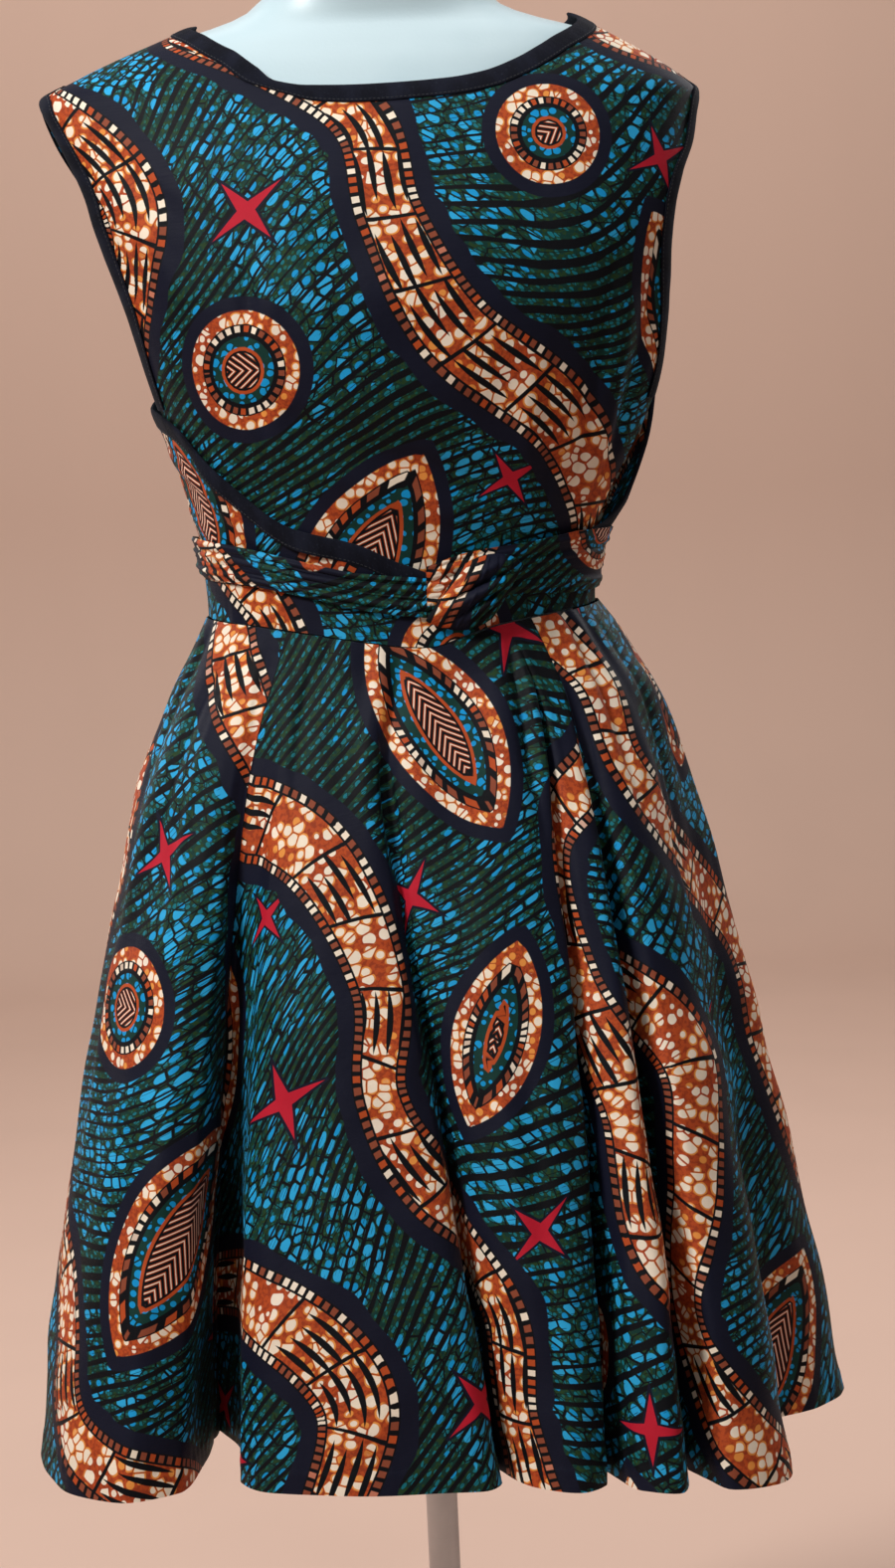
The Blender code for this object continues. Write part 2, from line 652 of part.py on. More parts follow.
def add_form(materials, collection):
    """The torso: rings lofted through the form's table, closed with a flat foot and a flat neck."""
    angle = np.arange(FORM_SIDES) * 360.0 / FORM_SIDES
    rise, width, front, back = [column(FORM, FORM_COLUMNS, name)[::-1, None] for name in FORM_COLUMNS]
    angle = np.broadcast_to(angle, (len(rise), FORM_SIDES))
    x, y = section(angle, width, width, front, back)
    points = np.stack([x, y, np.broadcast_to(WAIST_HEIGHT + rise, x.shape)], axis=-1)
    mesh = grid_mesh("dress_form", points, closed=True)
    build = bmesh.new()
    build.from_mesh(mesh)
    bmesh.ops.holes_fill(build, edges=build.edges, sides=FORM_SIDES)
    bmesh.ops.recalc_face_normals(build, faces=build.faces)
    build.to_mesh(mesh)
    build.free()
    add_object("dress_form", mesh, materials["form_shell"], collection)


def add_turned(name, profile, steps, material, collection):
    """A solid of revolution about +Z from a profile that runs down its outer side."""
    build = bmesh.new()
    verts = [build.verts.new((radius, 0, height)) for radius, height in profile]
    for first, second in zip(verts, verts[1:]):
        build.edges.new((first, second))
    mesh = bpy.data.meshes.new(name)
    build.to_mesh(mesh)
    build.free()
    item = add_object(name, mesh, material, collection)
    turn = item.modifiers.new("turn", "SCREW")
    turn.steps = turn.render_steps = steps
    turn.use_merge_vertices = True
    turn.merge_threshold = 0.0001
    return item


def add_stand(materials, collection):
    """A pole with a flange under the form, standing in the hub of a round base."""
    metal = materials["stand_metal"]
    form_foot = WAIST_HEIGHT + FORM[0][0]
    flange_top = form_foot - GAP
    flange_bottom = flange_top - FLANGE_THICKNESS
    pole_foot = HUB_HEIGHT + GAP
    pole = (
        (0, flange_top),
        (FLANGE_RADIUS - 0.001, flange_top),
        (FLANGE_RADIUS, flange_top - 0.001),
        (FLANGE_RADIUS, flange_bottom),
        (POLE_RADIUS + 0.004, flange_bottom - 0.003),
        (POLE_RADIUS, flange_bottom - 0.012),
        (POLE_RADIUS, pole_foot),
        (0, pole_foot),
    )
    add_turned("stand_pole", pole, POLE_SIDES, metal, collection)
    base = [(0, HUB_HEIGHT), (HUB_RADIUS - 0.002, HUB_HEIGHT), (HUB_RADIUS, HUB_HEIGHT - 0.002)]
    base.append((HUB_RADIUS, BASE_THICKNESS + 0.002))
    base.append((HUB_RADIUS + 0.002, BASE_THICKNESS))
    for turn in np.radians(np.linspace(90, 0, 4)):
        radius = BASE_RADIUS - BASE_EDGE * (1 - math.cos(turn))
        base.append((radius, BASE_THICKNESS - BASE_EDGE * (1 - math.sin(turn))))
    base += [(BASE_RADIUS, FOOT_CHAMFER), (BASE_RADIUS - FOOT_CHAMFER, 0), (0, 0)]
    add_turned("stand_base", base, BASE_SIDES, metal, collection)


def main():
    for item in list(bpy.data.objects):
        bpy.data.objects.remove(item)
    collection = bpy.data.collections.new("ankara_wax_print_dress")
    bpy.context.scene.collection.children.link(collection)
    materials = {name: make_material(name) for name in COLOURS}
    add_form(materials, collection)
    add_stand(materials, collection)
    add_bodice(materials, collection)
    add_wraps(materials, collection)
    add_waist(materials, collection)
    add_skirt(materials, collection)


main()
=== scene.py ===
"""A wrap-waist wax print dress on a limbless dress form: fine cloth, its print and the studio.

Metres, +Z up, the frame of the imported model: the dress faces -Y. Left and right are as seen from
the front, so right is +X. Heights in the tables are rises above the waist line, and angles are
degrees from the centre front towards +X.
The print is a generic one: blue pebbles on green between dark lines, rust bands with bead borders,
leaf and disc medallions and red stars, laid out here and repeated over the cloth.
"""

import math

import bpy
import numpy as np
from mathutils import Matrix, kdtree


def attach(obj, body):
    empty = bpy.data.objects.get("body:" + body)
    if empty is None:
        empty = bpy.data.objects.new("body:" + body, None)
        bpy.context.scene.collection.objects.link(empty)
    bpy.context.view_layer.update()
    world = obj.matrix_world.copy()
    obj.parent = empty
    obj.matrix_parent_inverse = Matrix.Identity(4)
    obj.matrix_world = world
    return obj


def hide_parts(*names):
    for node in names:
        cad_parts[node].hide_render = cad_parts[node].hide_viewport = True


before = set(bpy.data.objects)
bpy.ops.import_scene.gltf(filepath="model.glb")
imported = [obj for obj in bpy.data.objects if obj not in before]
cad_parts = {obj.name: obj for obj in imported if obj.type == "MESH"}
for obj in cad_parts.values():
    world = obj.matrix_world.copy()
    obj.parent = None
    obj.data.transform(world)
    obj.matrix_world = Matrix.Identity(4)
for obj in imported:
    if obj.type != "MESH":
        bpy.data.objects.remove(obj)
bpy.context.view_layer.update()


# ---------------------------------------------------------------------------------------------
# Sizes and tables of the object, as in its solid model

# Driving dimensions
WAIST_HEIGHT = 1.030
CLOTH = 0.0012
BINDING = 0.0014
BINDING_WIDTH = 0.014
GAP = 0.0003
BODICE_BOTTOM_RISE = -0.022
WAISTBAND_WIDTH = 0.028
POLE_RADIUS = 0.0125
FLANGE_RADIUS = 0.040
FLANGE_THICKNESS = 0.006
BASE_RADIUS = 0.170
BASE_THICKNESS = 0.012
BASE_EDGE = 0.004
HUB_RADIUS = 0.030
HUB_HEIGHT = 0.022
ROUNDING = 0.88  # power on sine and cosine: 1 is an ellipse, less is squarer

# Distances of each layer's middle surface out from the bodice's middle surface
LAYER = 0.0026
KNOT_THICKNESS = 0.0026
BINDING_OUT = CLOTH / 2 + GAP + BINDING / 2
WRAP_OUT = LAYER
SASH_OUT = WRAP_OUT + BINDING_OUT + 0.7 * LAYER
CROSSING_OUT = SASH_OUT + LAYER
KNOT_OUT = CROSSING_OUT + CLOTH / 2 + KNOT_THICKNESS / 2 + 1.5 * GAP

# Each table below is read by its first column.

# The worn bodice: rise, half-widths towards -X and +X, depths to the front and back
FIGURE = (
    (-0.080, 0.146, 0.149, 0.112, 0.104),
    (-0.050, 0.140, 0.143, 0.106, 0.097),
    (-0.020, 0.138, 0.140, 0.104, 0.094),
    (0.020, 0.141, 0.146, 0.107, 0.095),
    (0.060, 0.148, 0.168, 0.115, 0.099),
    (0.100, 0.160, 0.186, 0.126, 0.104),
    (0.145, 0.177, 0.200, 0.137, 0.108),
    (0.190, 0.194, 0.209, 0.141, 0.111),
    (0.240, 0.212, 0.221, 0.134, 0.112),
    (0.290, 0.230, 0.229, 0.119, 0.108),
    (0.345, 0.2445, 0.2322, 0.094, 0.096),
    (0.355, 0.2426, 0.2220, 0.0885, 0.091),
    (0.368, 0.2187, 0.2045, 0.081, 0.085),
    (0.380, 0.1920, 0.1849, 0.0735, 0.077),
    (0.392, 0.1613, 0.1638, 0.066, 0.069),
    (0.4045, 0.1290, 0.1410, 0.0595, 0.062),
)

# The form inside it: rise, half-width, depths to the front and back
FORM = (
    (-0.300, 0.138, 0.094, 0.102),
    (-0.292, 0.149, 0.103, 0.112),
    (-0.240, 0.160, 0.109, 0.124),
    (-0.180, 0.160, 0.108, 0.124),
    (-0.120, 0.150, 0.103, 0.114),
    (-0.060, 0.133, 0.096, 0.096),
    (-0.020, 0.125, 0.091, 0.087),
    (0.020, 0.126, 0.093, 0.086),
    (0.060, 0.132, 0.102, 0.090),
    (0.100, 0.140, 0.114, 0.095),
    (0.145, 0.149, 0.125, 0.099),
    (0.190, 0.155, 0.130, 0.102),
    (0.240, 0.158, 0.123, 0.104),
    (0.290, 0.163, 0.109, 0.100),
    (0.330, 0.174, 0.094, 0.092),
    (0.358, 0.184, 0.081, 0.084),
    (0.372, 0.182, 0.074, 0.078),
    (0.382, 0.1745, 0.068, 0.071),
    (0.392, 0.1575, 0.062, 0.065),
    (0.398, 0.1305, 0.058, 0.060),
    (0.403, 0.116, 0.056, 0.058),
    (0.4095, 0.0965, 0.056, 0.058),
    (0.4168, 0.087, 0.056, 0.057),
    (0.424, 0.0785, 0.056, 0.057),
    (0.442, 0.066, 0.056, 0.056),
    (0.465, 0.060, 0.055, 0.055),
    (0.502, 0.058, 0.053, 0.053),
    (0.514, 0.054, 0.049, 0.049),
    (0.520, 0.044, 0.039, 0.039),
)

# Share of the way down a bodice panel's side at which the shoulder seam meets the armhole
TIP_DROP = {"left": 0.105, "right": 0.129}

# Rise at which each armhole binding ends under the arm
BINDING_END = {"front": {"left": 0.136, "right": 0.130}, "back": {"left": 0.141, "right": 0.141}}

# Necklines: angle out from the centre front or centre back, rise of the edge
NECK_FRONT = (
    (-90, 0.4045),
    (-54, 0.3952),
    (-30, 0.3797),
    (-20, 0.3653),
    (-15, 0.3548),
    (-11, 0.3505),
    (-4, 0.3493),
    (2, 0.3497),
    (9, 0.3515),
    (16, 0.3558),
    (24, 0.3645),
    (32, 0.3736),
    (43, 0.3833),
    (65, 0.3950),
    (90, 0.4045),
)
NECK_BACK = (
    (-90, 0.4045),
    (-60, 0.4010),
    (-40, 0.3890),
    (-20, 0.3790),
    (0, 0.3750),
    (20, 0.3770),
    (40, 0.3850),
    (60, 0.3975),
    (90, 0.4045),
)

# Side edges of the bodice panels: rise, angles reached towards -X and +X
FRONT_EDGE = (
    (-0.030, 75, 74),
    (0.020, 75, 70),
    (0.040, 75, 64),
    (0.060, 76, 62),
    (0.090, 77, 66),
    (0.130, 77, 73),
    (0.150, 75, 73),
    (0.178, 71.7, 72),
    (0.203, 69.7, 69),
    (0.235, 69.3, 64.8),
    (0.260, 69, 64.2),
    (0.283, 67.5, 66.5),
    (0.306, 69, 74),
    (0.330, 72.5, 80),
    (0.345, 78.5, 89.8),
    (0.355, 89.8, 89.8),
)
BACK_EDGE = (
    (-0.030, 82, 82),
    (0.100, 82, 82),
    (0.140, 76, 78),
    (0.180, 67, 70),
    (0.220, 64, 66),
    (0.285, 67, 68),
    (0.320, 73, 75),
    (0.345, 80, 89.8),
    (0.355, 89.8, 89.8),
)

# Top edges of the two wraps: angle, rise
WRAP_LEFT_TOP = (
    (-97.8, 0.138),
    (-88, 0.134),
    (-76, 0.128),
    (-66, 0.117),
    (-59, 0.098),
    (-49, 0.077),
    (-31, 0.045),
    (-11, 0.030),
    (0, 0.014),
    (9, 0.001),
)
WRAP_LEAVE = (86, 97.8)  # angles between which a wrap comes down from over the front to the back panel
WRAP_RIGHT_TOP = ((62, 0.034), (70, 0.038), (79, 0.048), (85, 0.068), (90, 0.100), (97.8, 0.140))

# The waistband's lower edge all round: angle, rise
BAND_LOW = (
    (-180, -0.022),
    (-90, -0.020),
    (-50, -0.024),
    (-27, -0.031),
    (-11, -0.038),
    (4, -0.044),
    (14, -0.037),
    (25, -0.030),
    (50, -0.024),
    (90, -0.020),
    (180, -0.022),
)
# The two lengths of sash: angle, rises of the upper and lower edges
SASH_LEFT = (
    (-179.8, 0.032, -0.006),
    (-120, 0.036, -0.002),
    (-90, 0.040, 0.013),
    (-60, 0.036, 0.008),
    (-45, 0.031, 0.004),
    (-24, 0.019, -0.006),
    (-13, 0.012, -0.014),
    (2, 0.006, -0.022),
    (12, 0.001, -0.026),
)
SASH_RIGHT = (
    (4, 0.014, -0.014),
    (13, 0.022, -0.013),
    (22, 0.026, -0.010),
    (31, 0.028, -0.009),
    (43, 0.032, -0.010),
    (54, 0.035, -0.011),
    (90, 0.036, -0.008),
    (130, 0.034, -0.004),
    (179.8, 0.032, -0.006),
)
CROSSING = (20, 40)  # angles between which the upper length comes down beside the lower
KNOT_SPAN = (8, 26)
KNOT_TOP_RISE = 0.021
KNOT_BOTTOM_RISE = -0.033
KNOT_CORNER = 0.008
KNOT_SWELL = 0.010
KNOT_TUCK = (-0.028, -0.016)  # rises between which its foot turns in to the waistband

# The skirt's middle line between ridges and grooves: drop below its top edge, half-widths towards -X
# and +X, depths to the front and back
SKIRT = (
    (0.000, 0.140, 0.143, 0.106, 0.097),
    (0.025, 0.152, 0.160, 0.113, 0.106),
    (0.060, 0.171, 0.180, 0.126, 0.122),
    (0.110, 0.190, 0.195, 0.143, 0.144),
    (0.170, 0.203, 0.207, 0.160, 0.165),
    (0.250, 0.217, 0.221, 0.180, 0.187),
    (0.340, 0.231, 0.235, 0.200, 0.208),
    (0.430, 0.243, 0.247, 0.217, 0.226),
    (0.520, 0.253, 0.257, 0.231, 0.241),
    (0.620, 0.259, 0.264, 0.242, 0.253),
)
# The lines that the skirt's ridges and grooves follow: their angles at the hem and at the waist, the
# power of the share down at which each turns between them, how far out and how far round each has
# moved at the hem, and the share at which it starts and the power at which it grows
FOLD_COLUMNS = ("hem", "waist", "sweep", "reach", "lean", "start", "growth")
FOLDS = (
    (-68, -66, 0.8, 0.043, -0.005, 0.06, 1.00),
    (-56, -51, 1, 0.053, 0.000, 0.06, 1.00),
    (-48.5, -42.5, 1, 0.045, 0.014, 0.05, 1.00),
    (-44, -38.5, 1, 0.013, 0.011, 0.05, 1.10),
    (-41.5, -35.5, 1, -0.049, -0.035, 0.06, 1.30),
    (-39.5, -32.5, 1, -0.111, -0.085, 0.07, 1.45),
    (-37.5, -29.5, 1, -0.075, -0.034, 0.07, 1.30),
    (-35, -26.5, 1, -0.019, 0.003, 0.06, 1.10),
    (-29.5, -23.5, 1, -0.004, 0.015, 0.08, 1.00),
    (-20, -20, 1, -0.001, 0.019, 0.15, 1.00),
    (-8, -15.5, 0.9, 0.002, 0.014, 0.20, 1.00),
    (4, -12.5, 0.85, 0.006, -0.008, 0.20, 1.00),
    (7, -10.5, 0.85, -0.007, -0.010, 0.12, 1.00),
    (8.7, -9, 0.85, -0.056, -0.013, 0.10, 1.00),
    (10.4, -7, 0.85, -0.019, -0.015, 0.10, 1.00),
    (13, -2, 0.9, 0.005, -0.018, 0.08, 1.00),
    (18, 17, 1, 0.024, -0.020, 0.04, 0.85),
    (21.3, 25, 1, 0.013, -0.015, 0.03, 0.85),
    (23.3, 27, 1, -0.043, -0.002, 0.02, 0.85),
    (25.2, 28.5, 1, 0.000, -0.016, 0.05, 0.90),
    (27.2, 30, 1, 0.029, -0.026, 0.10, 1.00),
    (30.5, 32, 1, 0.045, -0.026, 0.10, 1.00),
    (33.2, 33.5, 1, 0.026, -0.017, 0.08, 1.00),
    (35.6, 36, 1, -0.032, 0.006, 0.06, 1.00),
    (38, 38, 1, 0.017, -0.017, 0.06, 1.00),
    (40.5, 41, 1, 0.044, -0.032, 0.07, 1.00),
    (45, 46, 1, 0.052, -0.020, 0.07, 1.00),
    (51, 53, 1, 0.036, -0.007, 0.07, 1.00),
    (60, 62, 1, -0.024, 0.004, 0.08, 1.10),
    (74, 75, 1, -0.021, 0.009, 0.10, 1.10),
    (84, 84, 1, 0.021, 0.006, 0.10, 1.00),
    (94, 95, 0.9, 0.046, -0.007, 0.10, 1.00),
    (104, 107, 0.9, 0.047, -0.011, 0.12, 1.00),
    (113, 120, 0.8, -0.034, 0.000, 0.18, 1.25),
    (128, 133, 0.8, 0.029, 0.000, 0.14, 1.25),
    (141, 145, 0.8, -0.038, 0.000, 0.12, 1.25),
    (157, 162, 0.8, 0.032, 0.000, 0.10, 1.25),
    (170, 178, 0.8, -0.032, 0.000, 0.20, 1.25),
    (184, 190, 0.8, 0.026, 0.000, 0.18, 1.25),
    (198, 203, 0.8, -0.040, 0.000, 0.10, 1.25),
    (214, 217, 0.8, 0.033, 0.000, 0.10, 1.25),
    (227, 229, 0.8, -0.030, 0.000, 0.22, 1.25),
    (240, 239, 0.8, 0.028, 0.000, 0.18, 1.25),
    (254, 250, 0.8, -0.038, 0.000, 0.12, 1.25),
    (271, 268, 0.8, 0.030, 0.000, 0.12, 1.10),
)
FOLD_TABLE = dict(zip(FOLD_COLUMNS, np.array(FOLDS, float).T))

# The hem: angle, rise
HEM = (
    (-180, -0.632),
    (-100, -0.626),
    (-60, -0.620),
    (-27, -0.612),
    (10, -0.611),
    (31, -0.616),
    (57, -0.632),
    (98, -0.634),
    (140, -0.630),
    (180, -0.632),
)
# The skirt's panels, and the hem angle of the seam that each begins at
PANELS = (
    ("front", -40.5),
    ("side_right", 34.4),
    ("back_right", 113),
    ("back_left", 170),
    ("side_left", 254),
)
WAIST_RADIUS = 0.14


def smooth(value, stations, levels):
    """A monotone cubic through these points, held level beyond its ends."""
    stations, levels = np.asarray(stations, float), np.asarray(levels, float)
    widths = np.diff(stations)
    rates = np.diff(levels) / widths
    slopes = np.zeros(len(stations))
    slopes[0], slopes[-1] = rates[0], rates[-1]
    rising = rates[:-1] * rates[1:] > 0
    slopes[1:-1][rising] = 2 / (1 / rates[:-1][rising] + 1 / rates[1:][rising])
    value = np.clip(np.asarray(value, dtype=float), stations[0], stations[-1])
    index = np.clip(np.searchsorted(stations, value, side="right") - 1, 0, len(widths) - 1)
    width = widths[index]
    t = (value - stations[index]) / width
    return (
        levels[index] * (1 + 2 * t) * (1 - t) ** 2
        + slopes[index] * width * t * (1 - t) ** 2
        + levels[index + 1] * t**2 * (3 - 2 * t)
        - slopes[index + 1] * width * t**2 * (1 - t)
    )


def read(table, value):
    """The other columns of a table at this value of its first, or the only other column by itself."""
    stations, *columns = np.array(table, float).T
    values = [smooth(value, stations, levels) for levels in columns]
    return values if len(values) > 1 else values[0]


def unit(vectors):
    """Vectors along the last axis, made one long."""
    return vectors / np.linalg.norm(vectors, axis=-1, keepdims=True)


def lengths(points, axis):
    """Running length of a path or a grid along one axis."""
    steps = np.linalg.norm(np.diff(points, axis=axis), axis=-1)
    start = np.zeros_like(np.take(steps, [0], axis=axis))
    return np.concatenate([start, np.cumsum(steps, axis=axis)], axis=axis)


def in_axes(x, y, turn):
    """The same place in axes turned by this many radians."""
    return x * math.cos(turn) + y * math.sin(turn), y * math.cos(turn) - x * math.sin(turn)


def rounded(wave):
    return np.sign(wave) * np.abs(wave) ** ROUNDING


def section(angle, minus_x, plus_x, front, back):
    """The point at this angle on a squared ellipse with four different half-axes."""
    turn = np.radians(angle)
    across, ahead = rounded(np.sin(turn)), rounded(np.cos(turn))
    x = np.where(across > 0, plus_x, minus_x) * across
    y = -np.where(ahead > 0, front, back) * ahead
    return x, y


def figure_surface(angle, rise):
    angle, rise = np.broadcast_arrays(np.asarray(angle, float), np.asarray(rise, float))
    x, y = section(angle, *read(FIGURE, rise))
    return np.stack([x, y, WAIST_HEIGHT + rise], axis=-1)


def figure_normal(angle, rise):
    """The worn surface's outward normal, from a small step each way round and up."""
    turn, lift = 0.5, 0.0015
    along = figure_surface(angle + turn, rise) - figure_surface(angle - turn, rise)
    up = figure_surface(angle, rise + lift) - figure_surface(angle, rise - lift)
    return unit(np.cross(along, up))


def figure_point(angle, rise, out=0.0):
    """A point of the worn surface, moved out along its normal."""
    angle, rise = np.broadcast_arrays(np.asarray(angle, float), np.asarray(rise, float))
    out = np.broadcast_to(np.asarray(out, float), angle.shape)
    return figure_surface(angle, rise) + figure_normal(angle, rise) * out[..., None]


def panel_reach(edge, share, rise):
    minus, plus = read(edge, rise)
    return np.where(share < 0, minus, plus)


def wrap_out(angle):
    """The wraps leave the back panel's surface and lie one layer over the front panel's."""
    return WRAP_OUT * np.interp(np.abs(angle), WRAP_LEAVE, (1, 0))


def band_top(angle):
    return read(BAND_LOW, angle) + WAISTBAND_WIDTH


def fold_value(angle, name):
    """One column of the fold table, read all round at this hem angle."""
    stations, levels = FOLD_TABLE["hem"], FOLD_TABLE[name]
    turn = 360.0 if name == "waist" else 0.0
    stations = np.concatenate([stations[-2:] - 360, stations, stations[:2] + 360])
    levels = np.concatenate([levels[-2:] - turn, levels, levels[:2] + turn])
    place = FOLDS[0][0] + np.mod(np.asarray(angle, float) - FOLDS[0][0], 360)
    value = smooth(place, stations, levels)
    return value + angle - place if turn else value


def wrapped(angle):
    return np.mod(np.asarray(angle, float) + 180, 360) - 180


def skirt_point(hem_angle, share, waist_shift=0.0):
    """A point of the skirt, share of the way down the line that ends at hem_angle."""
    waist_angle = fold_value(hem_angle, "waist") + waist_shift
    top = read(BAND_LOW, wrapped(waist_angle)) - 2 * GAP
    hem = read(HEM, wrapped(hem_angle))
    rise = top + (hem - top) * share
    drop = SKIRT[-1][0] * share
    angle = waist_angle + (hem_angle - waist_angle) * share ** fold_value(hem_angle, "sweep")
    plan = np.stack(section(angle, *read(SKIRT, drop)), axis=-1)
    outward = unit(plan)
    onward = np.stack([-outward[..., 1], outward[..., 0]], axis=-1)
    begin = fold_value(hem_angle, "start")
    grown = np.clip((share - begin) / (1 - begin), 0, 1) ** fold_value(hem_angle, "growth")
    reach = WRAP_OUT + fold_value(hem_angle, "reach") * grown
    lean = fold_value(hem_angle, "lean") * grown
    plan = plan + outward * reach[..., None] + onward * lean[..., None]
    return np.concatenate([plan, (WAIST_HEIGHT + rise)[..., None]], axis=-1)


def hem_length(angles):
    """The length along the folded hem to each of these hem angles."""
    return lengths(skirt_point(angles, np.ones(angles.shape)), 0)


# ---------------------------------------------------------------------------------------------
# The print, laid out in metres on flat cloth: u across and v up. It repeats after TILE[0] across, and
# after TILE[1] up with a drift of BAND_DRIFT across.

TILE = (0.60, 0.56)
BAND_DRIFT = -0.30
# Band middle lines: points (u, v, half-width); each ends one repeat on from where it starts
BANDS = (
    ((0.20, 0.00, 0.025), (0.155, 0.09, 0.030), (0.085, 0.16, 0.028), (0.055, 0.25, 0.021),
     (0.10, 0.34, 0.025), (0.125, 0.43, 0.030), (0.045, 0.51, 0.028), (-0.10, 0.56, 0.025)),
    ((0.50, 0.00, 0.025), (0.465, 0.07, 0.020), (0.475, 0.15, 0.024), (0.44, 0.25, 0.031),
     (0.355, 0.32, 0.030), (0.315, 0.40, 0.024), (0.295, 0.48, 0.023), (0.20, 0.56, 0.025)),
)
# Medallions: u, v, degrees turned, half-length, half-width (equal halves make a disc)
MEDALLIONS = (
    (0.285, 0.150, 62, 0.096, 0.046),
    (0.553, 0.330, 118, 0.088, 0.041),
    (0.205, 0.300, 0, 0.042, 0.042),
    (0.585, 0.108, 74, 0.068, 0.033),
    (0.430, 0.462, 30, 0.038, 0.038),
)
# Stars: u, v, degrees turned, reach of the points
STARS = (
    (0.390, 0.082, 12, 0.036),
    (0.215, 0.412, 38, 0.033),
    (0.520, 0.205, 65, 0.030),
    (0.392, 0.215, 30, 0.026),
    (0.010, 0.400, 80, 0.035),
    (0.520, 0.447, 20, 0.030),
    (0.325, 0.535, 52, 0.030),
)

LINES_TURN = 33  # degrees that the ground's lines run off the cloth's width


def home_of(cloth):
    """The same place in the first repeat, and how many repeats up it was."""
    up = np.floor(cloth[:, 1] / TILE[1])
    u = np.mod(cloth[:, 0] - up * BAND_DRIFT, TILE[0])
    return np.column_stack([u, cloth[:, 1] - up * TILE[1]]), up


def band_samples():
    """Closely spaced points of the bands around the first repeat: place, direction, length along,
    half-width and the band's whole length in a repeat."""
    samples = []
    for band in BANDS:
        points = np.array(band)
        ends = points[-1] - points[0]
        line = np.vstack([points[-2] - ends, points, points[1] + ends])
        fine = []
        for p0, p1, p2, p3 in zip(line, line[1:], line[2:], line[3:]):
            t = np.linspace(0, 1, 40, endpoint=False)[:, None]
            fine.append(
                0.5 * (2 * p1 + (p2 - p0) * t + (2 * p0 - 5 * p1 + 4 * p2 - p3) * t**2
                       + (3 * p1 - p0 - 3 * p2 + p3) * t**3)
            )
        fine = np.vstack(fine)
        path = np.vstack([fine, fine[:1] + ends])[:, :2]
        length = lengths(path, 0)
        direction = unit(np.diff(path, axis=0))
        whole = np.full(len(fine), length[-1])
        for up in (-1, 0, 1):
            for across in (-2, -1, 0, 1, 2):
                place = fine[:, :2] + (across * TILE[0] + up * BAND_DRIFT, up * TILE[1])
                run = length[:-1] + up * whole
                samples.append(np.column_stack([place, direction, run, fine[:, 2], whole]))
    return np.vstack(samples)


BAND_SAMPLES = band_samples()
BAND_TREE = kdtree.KDTree(len(BAND_SAMPLES))
for number, sample in enumerate(BAND_SAMPLES):
    BAND_TREE.insert((sample[0], sample[1], 0), number)
BAND_TREE.balance()


def band_field(cloth):
    """Length along the nearest band, signed distance from its middle and distance outside its edge."""
    home, up = home_of(cloth)
    index = np.array([BAND_TREE.find((u, v, 0))[1] for u, v in home])
    near = BAND_SAMPLES[index]
    away = home - near[:, :2]
    along = away[:, 0] * near[:, 2] + away[:, 1] * near[:, 3]
    across = away[:, 0] * near[:, 3] - away[:, 1] * near[:, 2]
    distance = np.linalg.norm(away, axis=1)
    return np.column_stack([near[:, 4] + along + up * near[:, 6], across, distance - near[:, 5]])


def motif_field(cloth, motifs, depth_of):
    """Place in the nearest motif's own axes, and how deep inside its edge."""
    home, _ = home_of(cloth)
    best = np.full(len(home), -np.inf)
    place = np.zeros((len(home), 2))
    for motif in motifs:
        turn = math.radians(motif[2])
        for up in (-1, 0, 1):
            for across in (-1, 0, 1):
                u = home[:, 0] - motif[0] - across * TILE[0] - up * BAND_DRIFT
                v = home[:, 1] - motif[1] - up * TILE[1]
                x, y = in_axes(u, v, turn)
                depth = depth_of(x, y, motif)
                closer = depth > best
                best = np.where(closer, depth, best)
                place[closer] = np.column_stack([x, y])[closer]
    return np.column_stack([place, best])


def medallion_depth(x, y, motif):
    """Depth inside the meeting of two circles with this half-length and half-width."""
    length, width = motif[3], motif[4]
    radius = (length**2 + width**2) / (2 * width)
    return radius - np.hypot(x, np.abs(y) + radius - width)


def star_depth(x, y, motif):
    return motif[3] - np.hypot(x, y)


def flow_field(cloth):
    """Place along and across the ground's lines, which wander over the cloth."""
    u, v = cloth.T
    du, dv = 2 * np.pi / TILE[0], 2 * np.pi / TILE[1]
    bent_u = u + 0.036 * np.sin(dv * v + 0.7) + 0.013 * np.sin(2 * dv * v - du * u + 1.9)
    bent_v = v + 0.040 * np.sin(du * u + 2.1) + 0.011 * np.sin(2 * du * u + dv * v + 0.4)
    return np.column_stack(in_axes(bent_u, bent_v, math.radians(LINES_TURN)))


def keep_field(mesh, name, values):
    """Stores two or three numbers for each vertex."""
    if values.shape[1] == 2:
        values = np.column_stack([values, np.zeros(len(values))])
    attribute = mesh.attributes.new(name, "FLOAT_VECTOR", "POINT")
    attribute.data.foreach_set("vector", values.astype(np.float32).ravel())


def add_print(mesh, cloth):
    """Stores the print's fields at the vertices, and the cloth's own metres as a UV map."""
    keep_field(mesh, "cloth", cloth)
    keep_field(mesh, "band", band_field(cloth))
    keep_field(mesh, "medallion", motif_field(cloth, MEDALLIONS, medallion_depth))
    keep_field(mesh, "star", motif_field(cloth, STARS, star_depth))
    keep_field(mesh, "flow", flow_field(cloth))
    corners = np.empty(len(mesh.loops), np.int32)
    mesh.loops.foreach_get("vertex_index", corners)
    layer = mesh.uv_layers.new(name="cloth_metres")
    layer.data.foreach_set("uv", cloth[corners].astype(np.float32).ravel())


# ---------------------------------------------------------------------------------------------
# Materials


def linear(red, green, blue):
    """A display colour from 0 to 255 as linear light."""
    values = np.array([red, green, blue]) / 255
    light = np.where(values <= 0.04045, values / 12.92, ((values + 0.055) / 1.055) ** 2.4)
    return tuple(light) + (1.0,)


